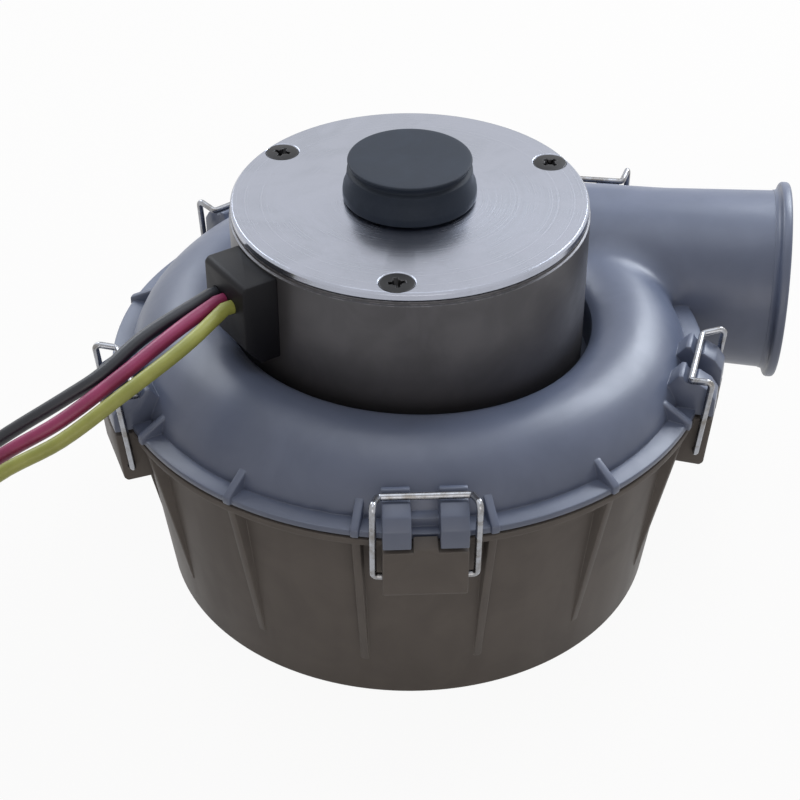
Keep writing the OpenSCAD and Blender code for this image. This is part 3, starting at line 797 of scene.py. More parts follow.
@dataclass(frozen=True)
class SatinCoat:
    """Thin dark coating on metal: satin, with fine marks round the wall and rubbed edges."""

    name: str
    colour: Colour
    bare: Colour
    roughness: float = 0.38
    metallic: float = 0.6

    def material(self) -> bpy.types.Material:
        """Builds the finish.

        Returns:
            The material.
        """
        bench = Bench(self.name)
        lines = bench.noise(0.5, 3, 0.65, (0.04, 0.04, 1))
        cloud = bench.noise(12, 3, 0.55, bend=0.5)
        fine = bench.noise(0.22, 2, 0.6)
        rim = bench.edges(0.35) * bench.step(bench.noise(1.5, 3, 0.6), 0.4, 0.6)
        colour = bench.mixed(rim * 0.5, bench.mixed(
            bench.step(cloud, 0.3, 0.7), self.colour,
            tuple(part * 0.8 for part in self.colour)), self.bare)
        rough = self.roughness + (cloud - 0.5) * 0.12 + (lines - 0.5) * 0.12
        normal = bench.bump(lines * 0.6 + fine * 0.4, 0.003, bench.soft_normal(0.25))
        return bench.surfaced(Base_Color=colour, Roughness=rough, Metallic=self.metallic,
                              Normal=normal)


@dataclass(frozen=True)
class Rubber:
    """Soft rubber: matt, finely pitted, with a little dust."""

    name: str
    colour: Colour
    dust: Colour
    roughness: float = 0.55
    specular: float = 0.25

    def material(self) -> bpy.types.Material:
        """Builds the finish.

        Returns:
            The material.
        """
        bench = Bench(self.name)
        pits = bench.noise(0.5, 4, 0.65)
        cloud = bench.noise(6, 4, 0.6, bend=0.8)
        specks = bench.step(bench.noise(0.9, 3, 0.7), 0.6, 0.7)
        colour = bench.mixed(bench.step(cloud, 0.4, 0.75) * 0.35 + specks * 0.12,
                             self.colour, self.dust)
        rough = self.roughness + (cloud - 0.5) * 0.16 + (pits - 0.5) * 0.08
        normal = bench.bump(pits, 0.015, bench.soft_normal(0.4))
        return bench.surfaced(Base_Color=colour, Roughness=rough, Normal=normal,
                              Specular_IOR_Level=self.specular)


@dataclass(frozen=True)
class DrawnWire:
    """Drawn metal wire: bright, with fine lines along it."""

    name: str
    colour: Colour
    shade: Colour
    roughness: float = 0.26

    def material(self) -> bpy.types.Material:
        """Builds the finish.

        Returns:
            The material.
        """
        bench = Bench(self.name)
        lines = bench.noise(0.25, 3, 0.7, (1, 1, 0.06))
        stain = bench.noise(3, 3, 0.6)
        colour = bench.mixed(bench.step(stain, 0.4, 0.7), self.colour, self.shade)
        rough = self.roughness + (stain - 0.5) * 0.2 + (lines - 0.5) * 0.1
        normal = bench.bump(lines, 0.004)
        return bench.surfaced(Base_Color=colour, Roughness=rough, Metallic=1.0, Normal=normal)


@dataclass(frozen=True)
class LayeredMetal:
    """Thin sheets or wires laid one on the other along a direction."""

    name: str
    colour: Colour
    gap: Colour
    pitch: float
    metallic: float = 0.8
    roughness: float = 0.4

    def material(self) -> bpy.types.Material:
        """Builds the finish.

        Returns:
            The material.
        """
        bench = Bench(self.name)
        wave = (bench.height() * (math.tau / self.pitch)).waved() * 0.5 + 0.5
        stain = bench.noise(4, 3, 0.6)
        colour = bench.mixed(bench.step(wave, 0.0, 0.35), self.gap, self.colour)
        rough = self.roughness + (stain - 0.5) * 0.2
        normal = bench.bump(wave, self.pitch * 0.2)
        return bench.surfaced(Base_Color=colour, Roughness=rough, Metallic=self.metallic,
                              Normal=normal)


@dataclass(frozen=True)
class BoardMask:
    """Circuit board: green mask over paths of copper, with paler glass at its edge."""

    name: str
    colour: Colour
    track: Colour

    def material(self) -> bpy.types.Material:
        """Builds the finish.

        Returns:
            The material.
        """
        bench = Bench(self.name)
        bricks = bench.signal("TexBrick", {"offset": 0.5}, {
            "Vector": bench.place(), "Scale": 0.35, "Mortar Size": 0.06}, output="Fac")
        paths = bench.step(bricks, 0.4, 0.6)
        grain = bench.noise(0.6, 3, 0.6)
        colour = bench.mixed(paths * 0.7, self.colour, self.track)
        rough = 0.35 + (grain - 0.5) * 0.15
        normal = bench.bump(paths * 0.8 + grain * 0.2, 0.03)
        return bench.surfaced(Base_Color=colour, Roughness=rough, Normal=normal)


class LeadColour(Enum):
    """The sleeve colours of the three leads."""

    BLACK = ((0.008, 0.010, 0.016), (0.016, 0.018, 0.026))
    # The red is the sleeve's own; its blue part is painted cool light from above.
    RED = ((0.30, 0.026, 0.112), (0.23, 0.018, 0.084))
    YELLOW = ((0.34, 0.36, 0.085), (0.27, 0.29, 0.062))


@dataclass(frozen=True)
class LeadSleeve:
    """Soft vinyl sleeve of a lead: a low gloss with slow waves from the extruder."""

    colour: LeadColour

    def material(self) -> bpy.types.Material:
        """Builds the finish.

        Returns:
            The material.
        """
        bench = Bench("sleeve_" + self.colour.name.lower())
        slow = bench.noise(7, 2, 0.5)
        fine = bench.noise(0.5, 3, 0.6)
        first, second = self.colour.value
        colour = bench.mixed(bench.step(slow * 0.8 + fine * 0.2, 0.35, 0.65), first, second)
        rough = 0.40 + (slow - 0.5) * 0.16 + (fine - 0.5) * 0.08
        normal = bench.bump(slow * 0.7 + fine * 0.3, 0.05)
        return bench.surfaced(Base_Color=colour, Roughness=rough, Normal=normal)


Finish = (MouldedPlastic | TurnedMetal | SatinCoat | Rubber | DrawnWire | LayeredMetal
          | BoardMask | LeadSleeve)

FINISHES: dict[str, Finish] = {
    # The two casings share one grey plastic. The scroll's blue tint is painted cool light from
    # above, and the cup's warm tint is painted warm shade on its front.
    "casing_plastic": MouldedPlastic("scroll_plastic", (0.114, 0.136, 0.203),
                                     (0.098, 0.119, 0.180), (0.25, 0.29, 0.39), 0.37),
    "lower_plastic_painted_warm_shade": MouldedPlastic("cup_plastic", (0.150, 0.138, 0.130), (0.130, 0.120, 0.114),
                                    (0.30, 0.285, 0.27), 0.42, specular=0.04),
    "inner_plastic": MouldedPlastic("inner_plastic", (0.020, 0.022, 0.025), (0.026, 0.027, 0.030),
                                    (0.07, 0.07, 0.08), 0.5),
    "block_plastic": MouldedPlastic("block_plastic", (0.004, 0.004, 0.006), (0.006, 0.006, 0.008),
                                    (0.015, 0.015, 0.02), 0.5, specular=0.2),
    "seal_rubber": Rubber("seal_rubber", (0.008, 0.008, 0.008), (0.03, 0.03, 0.03), 0.65),
    # The cap's dark grey is its own; the blue tint of it and of its dust is painted cool light
    # from above.
    "cap_rubber": Rubber("cap_rubber", (0.012, 0.018, 0.030), (0.028, 0.037, 0.055), 0.6),
    # The aluminium's grey is its own; its blue tint is painted cool light from above.
    "aluminium": TurnedMetal("turned_aluminium", (0.41, 0.43, 0.50), (0.37, 0.39, 0.45), 0.24),
    "can_metal": SatinCoat("can_coat", (0.094, 0.092, 0.100), (0.30, 0.30, 0.32)),
    "steel": TurnedMetal("ground_steel", (0.50, 0.50, 0.52), (0.44, 0.44, 0.46), 0.25),
    "core_steel": LayeredMetal("core_sheets", (0.34, 0.34, 0.36), (0.05, 0.05, 0.06), 0.5),
    "black_steel": SatinCoat("black_steel", (0.012, 0.012, 0.014), (0.20, 0.20, 0.21), 0.36, 0.5),
    "spring_wire": DrawnWire("spring_wire", (0.34, 0.35, 0.38), (0.21, 0.20, 0.19)),
    "magnet": SatinCoat("magnet_coat", (0.06, 0.06, 0.065), (0.3, 0.3, 0.3), 0.3, 0.7),
    "brass": TurnedMetal("brass", (0.62, 0.44, 0.16), (0.50, 0.35, 0.13), 0.3),
    "copper": LayeredMetal("enamelled_copper", (0.55, 0.18, 0.05), (0.16, 0.04, 0.01), 0.6, 0.7,
                           0.3),
    "board": BoardMask("board_mask", (0.010, 0.090, 0.035), (0.03, 0.16, 0.06)),
    "tinned_wire": DrawnWire("tinned_wire", (0.60, 0.58, 0.54), (0.45, 0.43, 0.40), 0.32),
    **{colour.name.lower() + "_lead": LeadSleeve(colour) for colour in LeadColour},
}


class Finishes:
    """Every finish of the blower, made once and shared."""

    def __init__(self) -> None:
        """Builds the materials by slot."""
        self.by_slot = {slot: finish.material() for slot, finish in FINISHES.items()}

    def dress_frame(self) -> None:
        """Gives every CAD node that stays in sight the finish of its slot."""
        for name, slot in INNER_NODES.items():
            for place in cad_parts[name].material_slots:
                place.material = self.by_slot[slot]


INNER_NODES = {
    "mounting_inserts": "brass", "rim_seal": "seal_rubber", "stage_plate": "inner_plastic",
    "volute_floor": "casing_plastic", "first_impeller": "inner_plastic",
    "second_impeller": "inner_plastic", "impeller_spacer": "steel", "impeller_washer": "steel",
    "impeller_nut": "steel", "rotor_shaft": "steel", "rotor_core": "core_steel",
    "rotor_magnets": "magnet", "retaining_ring": "black_steel", "lower_bearing": "steel",
    "upper_bearing": "steel", "wave_washer": "steel", "stator_core": "core_steel",
    "stator_windings": "copper", "control_board": "board", "board_standoffs": "inner_plastic",
    "motor_base": "aluminium", "motor_screws": "steel",
}


@dataclass
class SubAssembly:
    """A part of the blower that adds its finished pieces to the scene."""

    finishes: Finishes

    def add(self, shape: Shape, name: str, slot: str, replaced: Sequence[str],
            body: str = HOUSING, finish: str = "", sharp: float = 34) -> bpy.types.Object:
        """Finishes a piece and ties it to the frame.

        Args:
            shape: The solid.
            name: Name of the piece.
            slot: Material slot of the record.
            replaced: CAD nodes that it stands for.
            body: CAD body that it moves with.
            finish: Finish that it wears, where that isn't the slot's own.
            sharp: Angle from which an edge shows, in degrees.

        Returns:
            The piece.
        """
        piece = shape.to_object(name, sharp)
        piece.data.materials.append(self.finishes.by_slot[finish or slot])
        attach(piece, body)
        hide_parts(*replaced)
        LOG.info("%s: %d faces", name, len(piece.data.polygons))
        return piece


@dataclass(frozen=True)
class CasingSizes:
    """Sizes in millimetres that both casings share."""

    base_r: float = 61.8
    top_r: float = 68.5
    height: float = 55.0
    wall: float = 2.5
    rim_r: float = 72.5
    flange_t: float = 1.7
    upper_z: float = 57.3
    bore_r: float = 20.0
    tube_r: float = 21.6
    mouth_r: float = 23.1
    reach: float = 92.3
    outlet_y: float = 46.6
    nest_gap: float = 0.4
    rib_t: float = 2.0
    straight_x: float = 58.1
    straight_y: float = 73.7
    corner_r: float = 8.0
    rear_clip_x: float = 39.2
    pivot_r: float = 73.0
    pivot_z: float = 47.5
    pad_foot_z: float = 43.0
    bar_r: float = 69.7
    bar_z: float = 67.3
    pad_half_w: float = 9.3
    prong_gap_half: float = 3.1
    clip_angles: tuple[float, ...] = (-80, -8, 136, 208)

    def cup_r(self, z: float) -> float:
        """Outer radius of the cup at a height."""
        return self.base_r + (self.top_r - self.base_r) * z / self.height

    def inner_r(self, z: float) -> float:
        """Inner radius of the cup at a height."""
        return self.cup_r(z) - self.wall

    def rib_angles(self) -> list[float]:
        """Row angles of the ribs and fins, without those that the outlet passes."""
        angles = [self.clip_angles[0] - 12 + 24 * k for k in range(15)]
        return [angle for angle in angles if abs(angle - 34) > 31]

    def rim_outline(self) -> list[Point]:
        """Outline of both flanges.

        Returns:
            The outline's corners.
        """
        start = math.degrees(math.acos(self.straight_x / self.rim_r))
        corner = arc((self.straight_x - self.corner_r, self.straight_y - self.corner_r),
                     self.corner_r, 0, 90, 12)
        low = (self.straight_x, self.rim_r * math.sin(math.radians(start)))
        return [low, *corner, (0, self.straight_y), (0, self.rim_r),
                *arc((0, 0), self.rim_r, 90, 360 + start, 150)[1:-1]]

    def across_outlet(self, shape: Shape) -> Shape:
        """Lays a shape that was made about Z along the outlet, its foot on the blower axis."""
        return shape.rotated(90, "Y").moved(0, self.outlet_y, self.height)

    def at_clips(self, shape: Shape) -> Shape:
        """Repeats a clip part at all five clips.

        Args:
            shape: The clip part at the row angle nought.

        Returns:
            One shape that holds all five.
        """
        group = shape.with_copies(self.clip_angles)
        rear = shape.copied().rotated(90).moved(self.rear_clip_x,
                                                self.straight_y - self.rim_r, 0)
        return group.joined(rear)


def side_plate(outline: Sequence[Point], thickness: float) -> Shape:
    """Makes a plate from an outline in radius and height, its middle in the X and Z plane."""
    return Shape.prism(outline, -thickness / 2, thickness / 2).rotated(90, "X")


@dataclass(frozen=True)
class LeadExits:
    """Where the leads leave their block, as the motor and the leads both need it."""

    angle: float = -138.5
    face_r: float = 50.0
    height: float = 89.5
    pitch: float = 3.4

    def steps(self) -> tuple[float, float, float]:
        """Gives the sideways places of the black, red and yellow leads."""
        return (-self.pitch, 0, self.pitch)


@dataclass
class LowerCasing(SubAssembly):
    """The tapered cup with its ribs, latch pads and the trough under the outlet."""

    sizes: CasingSizes = field(default_factory=CasingSizes)
    edge_r: float = 1.2
    fillet_r: float = 1.5
    rib_foot_z: float = 12.0
    trough_r: float = 24.2
    intake_r: float = 20.0
    collar_h: float = 4.8
    insert_circle_r: float = 52.0
    insert_angles: tuple[float, ...] = (45, 135, 225, 315)
    insert_hole_r: float = 3.25
    insert_boss_r: float = 4.6
    support_count: int = 8

    def build(self) -> None:
        """Builds the piece."""
        shape = self.outside()
        shape.cut(self.cavity())
        shape.cut(Shape.rod(self.intake_r, self.intake_r, -1, 9))
        hole = Shape.rod(self.insert_hole_r, self.insert_hole_r, -1, 8.2, 32)
        shape.cut(hole.moved(self.insert_circle_r, 0, 0).with_copies(self.insert_angles))
        bore_r = self.sizes.tube_r + self.sizes.nest_gap
        shape.cut(self.sizes.across_outlet(Shape.rod(bore_r, bore_r, -0.4, self.sizes.reach)))
        # The cup wears the warm copy of the casing plastic, whose warmth is painted shade.
        self.add(shape, "cup", "casing_plastic", ["lower_casing"], finish="lower_plastic_painted_warm_shade")

    def outside(self) -> Shape:
        """Builds the cup without its hollow.

        Returns:
            The cup, still solid.
        """
        s = self.sizes
        low = s.height - self.fillet_r
        shape = Shape.turned(
            [(0, 0), *arc((s.base_r - self.edge_r, self.edge_r), self.edge_r, -90, -8, 8),
             *arc((s.cup_r(low) + self.fillet_r, low), self.fillet_r, 180, 90, 6),
             (s.top_r + self.fillet_r, s.height + 0.5), (0, s.height + 0.5)], 180)
        shape.fused(Shape.prism(s.rim_outline(), s.height, s.height + s.flange_t)
                    .bevelled(0.4))
        trough = s.across_outlet(Shape.rod(self.trough_r, self.trough_r, -2.6,
                                           s.straight_x - 0.6))
        shape.fused(trough.kept_in(Shape.block((-5, 0, 0), (95, 100, s.height + 0.5))))
        foot = self.rib_foot_z
        rib = side_plate([(s.cup_r(foot) - 1.5, foot), (s.cup_r(foot) + 0.1, foot),
                          (s.rim_r - 0.5, s.height + 0.5), (s.top_r - 1.5, s.height + 0.5)],
                         s.rib_t).bevelled(0.4)
        shape.fused(rib.with_copies(s.rib_angles()))
        shape.fused(s.at_clips(self.latch_pad()))
        return shape

    def latch_pad(self) -> Shape:
        """Builds the pad that a bail turns in, with the sill between the hook's prongs.

        Returns:
            The pad.
        """
        s = self.sizes
        front, foot, top = s.rim_r + 3.5, s.pad_foot_z, s.height + s.flange_t - 0.2
        pad = side_plate([(s.top_r - 4.5, foot), (s.pivot_r + 1.2, foot),
                          (s.pivot_r + 2, foot + 0.8), (front, top), (s.top_r - 4.5, top)],
                         2 * s.pad_half_w).bevelled(0.4)
        sill = side_plate([(s.rim_r + 0.7, s.pivot_z), (s.rim_r + 2, s.pivot_z), (front, top - 1),
                           (front, s.upper_z), (s.rim_r + 0.7, s.upper_z + s.flange_t)],
                          2 * (s.prong_gap_half - s.nest_gap)).bevelled(0.3)
        pad.fused(sill)
        for side in (-1, 1):
            hole = Shape.rod(0.95, 0.95, 0, 4, 24).rotated(90 * side, "X")
            pad.cut(hole.moved(s.pivot_r, side * (s.pad_half_w + 1), s.pivot_z))
        return pad

    def cavity(self) -> Shape:
        """Builds the hollow of the cup, round its collar, bosses and supports.

        Returns:
            The hollow.
        """
        s = self.sizes
        hollow = Shape.turned([(0, s.wall), (s.inner_r(s.wall), s.wall), (s.inner_r(100), 100),
                               (0, 100)], 180)
        collar = Shape.rod(self.intake_r + 1.8, self.intake_r + 1.8, 0, self.collar_h)
        collar.cut(Shape.rod(self.intake_r, self.intake_r, -1, 9))
        boss = Shape.rod(self.insert_boss_r, self.insert_boss_r, 0, 10, 32)
        bosses = boss.moved(self.insert_circle_r, 0, 0).with_copies(self.insert_angles)
        apart = 360 / self.support_count
        support = Shape.block((57, -1, 0), (77, 1, 18))
        return hollow.cut(collar, bosses, support.with_copies(
            [apart * (k + 0.5) for k in range(self.support_count)]))


@dataclass
class UpperCasing(SubAssembly):
    """The scroll moulding with its motor well, outlet tube, fins and hooks."""

    sizes: CasingSizes = field(default_factory=CasingSizes)
    start_r: float = 14.7
    end_r: float = 22.0
    section_edge_r: float = 68.6
    tongue: float = 20.0
    lead_in: float = 0.062
    edge_r: float = 6.0
    edge_centre_r: float = 49.4
    well_r: float = 44.3
    well_wall_r: float = 46.5
    deck_z: float = 52.0
    floor_top_z: float = 32.2
    chamber_r: float = 45.2
    section_end_x: float = 61.0
    channel_end_x: float = 55.3
    socket_x: float = 57.3
    throat_r: float = 19.0
    flare_x: float = 46.0
    deck_hole_r: float = 11.8
    motor_screw_r: float = 33.1
    motor_screw_angles: tuple[float, ...] = (93, 213, 333)
    fillet_middle: tuple[float, float, float] = (48, 28, 70)
    fillet_reach: float = 34.0
    lip_r: float = 25.5
    lip_t: float = 2.6

    def build(self) -> None:
        """Builds the piece."""
        s = self.sizes
        shape = self.scroll()
        shape.fused(Shape.prism(s.rim_outline(), s.upper_z, s.upper_z + s.flange_t)
                    .bevelled(0.4))
        shape.fused(self.lip(), self.skirt(),
                    Shape.rod(self.well_wall_r, self.well_wall_r, self.deck_z, 59))
        shape.fused(self.fin().with_copies(s.rib_angles()))
        shape.fused(s.at_clips(self.hook()))
        shape.cut(self.channel())
        shape.cut(self.bore())
        shape.cut(Shape.rod(self.chamber_r, self.chamber_r, self.floor_top_z - 10, self.deck_z))
        shape.cut(Shape.rod(self.well_r, self.well_r, s.height, 120, 180))
        shape.cut(Shape.rod(self.deck_hole_r, self.deck_hole_r, self.deck_z - 1, s.height + 1))
        for hole in (Shape.rod(1.7, 1.7, self.deck_z - 1, s.height + 1, 24),
                     Shape.rod(3, 1.6, self.deck_z - 0.01, self.deck_z + 1.4, 24)):
            shape.cut(hole.moved(self.motor_screw_r, 0, 0).with_copies(self.motor_screw_angles))
        self.add(shape, "scroll", "casing_plastic", ["upper_casing"])

    def section(self, g: float) -> tuple[float, float, float, float]:
        """Gives the scroll's section at a share of its way.

        Args:
            g: Share of the way, from the narrow end to the outlet.

        Returns:
            Its middle's radius, its own radius, the height of the inner edge's middle
            above the outlet's axis, and the distance between the two middles.
        """
        own = self.start_r + (self.end_r - self.start_r) * g
        middle = self.section_edge_r - own
        apart = self.edge_centre_r - middle
        return middle, own, math.sqrt((own - self.edge_r) ** 2 - apart ** 2), apart

    def outer_outline(self, g: float) -> list[Point]:
        """Outline of the moulding's outside at a share of the way.

        Args:
            g: Share of the way, from the narrow end to the outlet.

        Returns:
            The outline's points.
        """
        middle, own, rise, apart = self.section(g)
        z = self.sizes.height
        meet = math.degrees(math.atan2(rise, apart))
        low = math.degrees(math.asin((self.sizes.upper_z + 0.7 - z) / own))
        return [*arc((middle, z), own, low, meet, 20),
                *arc((self.edge_centre_r, z + rise), self.edge_r, meet, 160, 8)[1:],
                (self.well_r - 3, z + rise), (self.well_r - 3, self.sizes.upper_z + 0.7)]

    def channel_outline(self, g: float) -> list[Point]:
        """Outline of the air channel at a share of the way.

        Args:
            g: Share of the way, from the narrow end to the outlet.

        Returns:
            The outline's points.
        """
        middle, own, rise, apart = self.section(g)
        s = self.sizes
        own -= s.wall
        top = s.upper_z + s.flange_t
        meet = math.degrees(math.atan2(rise, apart))
        low = math.degrees(math.asin((top + 2.5 - s.height) / own))
        side = s.inner_r(s.height) - s.nest_gap - 2.4
        edge = self.edge_r - s.wall
        return [(side, s.height + 1), (side, top + 1.5),
                *arc((middle, s.height), own, low, meet, 14),
                *arc((self.edge_centre_r, s.height + rise), edge, meet, 170, 5)[1:],
                (self.well_wall_r - 3.5, s.height + rise), (self.well_wall_r - 3.5, s.height + 1)]

    def swept_round(self, outline: Callable[[float], list[Point]], first: float,
                    stations: int) -> Shape:
        """Carries an outline round the scroll.

        Args:
            outline: Gives the outline at a share of the way.
            first: Share of the way where it starts.
            stations: Number of stations.

        Returns:
            The swept solid.
        """
        rings = []
        for i in range(stations + 1):
            g = first + (1 - first) * i / stations
            turn = math.radians(self.tongue - (270 + self.tongue) * g)
            rings.append([(r * math.cos(turn), r * math.sin(turn), z) for r, z in outline(g)])
        return Shape.stationed(rings)

    def swept_straight(self, outline: list[Point], length: float) -> Shape:
        """Carries an outline in Y and Z along X."""
        return Shape.stationed([[(x, y, z) for y, z in outline] for x in (0, length)])

    def scroll(self) -> Shape:
        """Builds the outside of scroll and tube as one skin with moulded hollows.

        Returns:
            The outside, still solid.
        """
        s = self.sizes
        shape = self.swept_round(self.outer_outline, -self.lead_in, 96)
        narrow, wide = s.tube_r - 0.2, s.mouth_r + 0.2
        shape.joined(self.swept_straight(self.outer_outline(1), self.section_end_x),
                     s.across_outlet(Shape.rod(narrow, narrow, 1, self.flare_x, 128)),
                     s.across_outlet(Shape.rod(narrow, wide, self.flare_x, s.reach - 1, 128)))
        shape.remeshed(0.9)
        middle, rim_z = Vector(self.fillet_middle), s.upper_z + s.flange_t + 0.5
        shape.filled_in(90, lambda place: (place - middle).length < self.fillet_reach
                        and place.z > rim_z)
        shape.smoothed(6, lambda place: place.x < s.reach - 4)
        return shape

    def lip(self) -> Shape:
        """Builds the rolled lip round the mouth.

        Returns:
            The lip.
        """
        s = self.sizes
        flare, root = 1.4, s.mouth_r + 0.2
        ring = [(root - 1.5, 0), (self.lip_r - 0.9, 0),
                *arc((self.lip_r - 0.9, 0.9), 0.9, -90, 0, 5)[1:],
                *arc((self.lip_r - 0.9, self.lip_t - 0.9), 0.9, 0, 90, 5),
                *arc((root + flare, self.lip_t + flare), flare, 270, 180, 8)[1:],
                (root - 1.5, self.lip_t + flare)]
        lip = Shape.turned([(r, -z) for r, z in ring], 128, ring=True)
        return s.across_outlet(lip.moved(0, 0, s.reach))

    def skirt(self) -> Shape:
        """Builds the wall that nests in the cup.

        Returns:
            The wall.
        """
        s = self.sizes
        low, high = (s.inner_r(z) - s.nest_gap for z in (self.floor_top_z, s.height))
        return Shape.turned([(low - 2, self.floor_top_z), (low, self.floor_top_z),
                             (high, s.height), (high, s.upper_z + 0.5),
                             (high - 2, s.upper_z + 0.5)], 180, ring=True)

    def fin(self) -> Shape:
        """Builds one of the small fins on the rim.

        Returns:
            The fin.
        """
        s = self.sizes
        low, top = s.upper_z + 0.2, s.upper_z + s.flange_t
        return side_plate([(s.top_r - 4, low), (s.rim_r + 0.8, low), (s.rim_r + 0.8, top + 0.6),
                           (s.top_r - 2, top + 4.2), (s.top_r - 4, top + 4.2)],
                          s.rib_t).bevelled(0.45)

    def hook(self) -> Shape:
        """Builds the two prongs that a bail lies across.

        Returns:
            The two prongs.
        """
        s = self.sizes
        low = s.upper_z + 0.2
        outline = [(s.top_r - 4, low), (s.top_r - 4, s.bar_z - 2.9),
                   (s.bar_r - 3.1, s.bar_z - 0.2), (s.bar_r - 2.7, s.bar_z + 0.4),
                   (s.bar_r - 1.6, s.bar_z + 0.4), (s.bar_r - 1.25, s.bar_z - 0.5),
                   (s.bar_r - 0.5, s.bar_z - 1.25), (s.bar_r + 0.6, s.bar_z - 1.25),
                   (s.bar_r + 1.5, s.bar_z - 0.8), (s.rim_r + 1.7, s.bar_z - 2.4),
                   (s.rim_r + 3.5, s.bar_z - 4.9), (s.rim_r + 3.5, low)]
        width = s.pad_half_w - s.prong_gap_half
        middle = (s.pad_half_w + s.prong_gap_half) / 2
        prong = side_plate(outline, width).bevelled(0.3)
        ledge_top = s.upper_z + s.flange_t + 2.2
        ledge = side_plate([(s.top_r - 4, low), (s.rim_r - 2.5, low), (s.rim_r - 2.5, ledge_top),
                            (s.top_r - 4, ledge_top)], 2 * s.prong_gap_half + 1).bevelled(0.2)
        return ledge.fused(prong.copied().moved(0, middle, 0), prong.moved(0, -middle, 0))

    def bore(self) -> Shape:
        """Builds the hollow of the outlet tube, from the throat to the mouth.

        Returns:
            The hollow.
        """
        s = self.sizes
        shape = s.across_outlet(Shape.turned([
            (0, -1), (self.throat_r, -1), (self.throat_r, self.socket_x),
            (s.bore_r, self.socket_x + 1), (s.bore_r, s.reach - 1.1),
            (s.bore_r + 1.2, s.reach + 0.1), (0, s.reach + 0.1)], 128))
        return shape.cut(Shape.rod(self.well_wall_r, self.well_wall_r, self.deck_z, 112),
                         Shape.rod(self.chamber_r, self.chamber_r, 30, self.deck_z + 1))

    def channel(self) -> Shape:
        """Builds the air's way round the scroll to the throat of the outlet.

        Returns:
            The hollow.
        """
        s = self.sizes
        shape = self.swept_round(self.channel_outline, 0, 84)
        shape.fused(self.swept_straight(self.channel_outline(1), self.channel_end_x))
        return shape.cut(Shape.rod(self.well_wall_r, self.well_wall_r, self.deck_z, 112),
                         Shape.rod(self.chamber_r, self.chamber_r, 30, self.deck_z + 1))


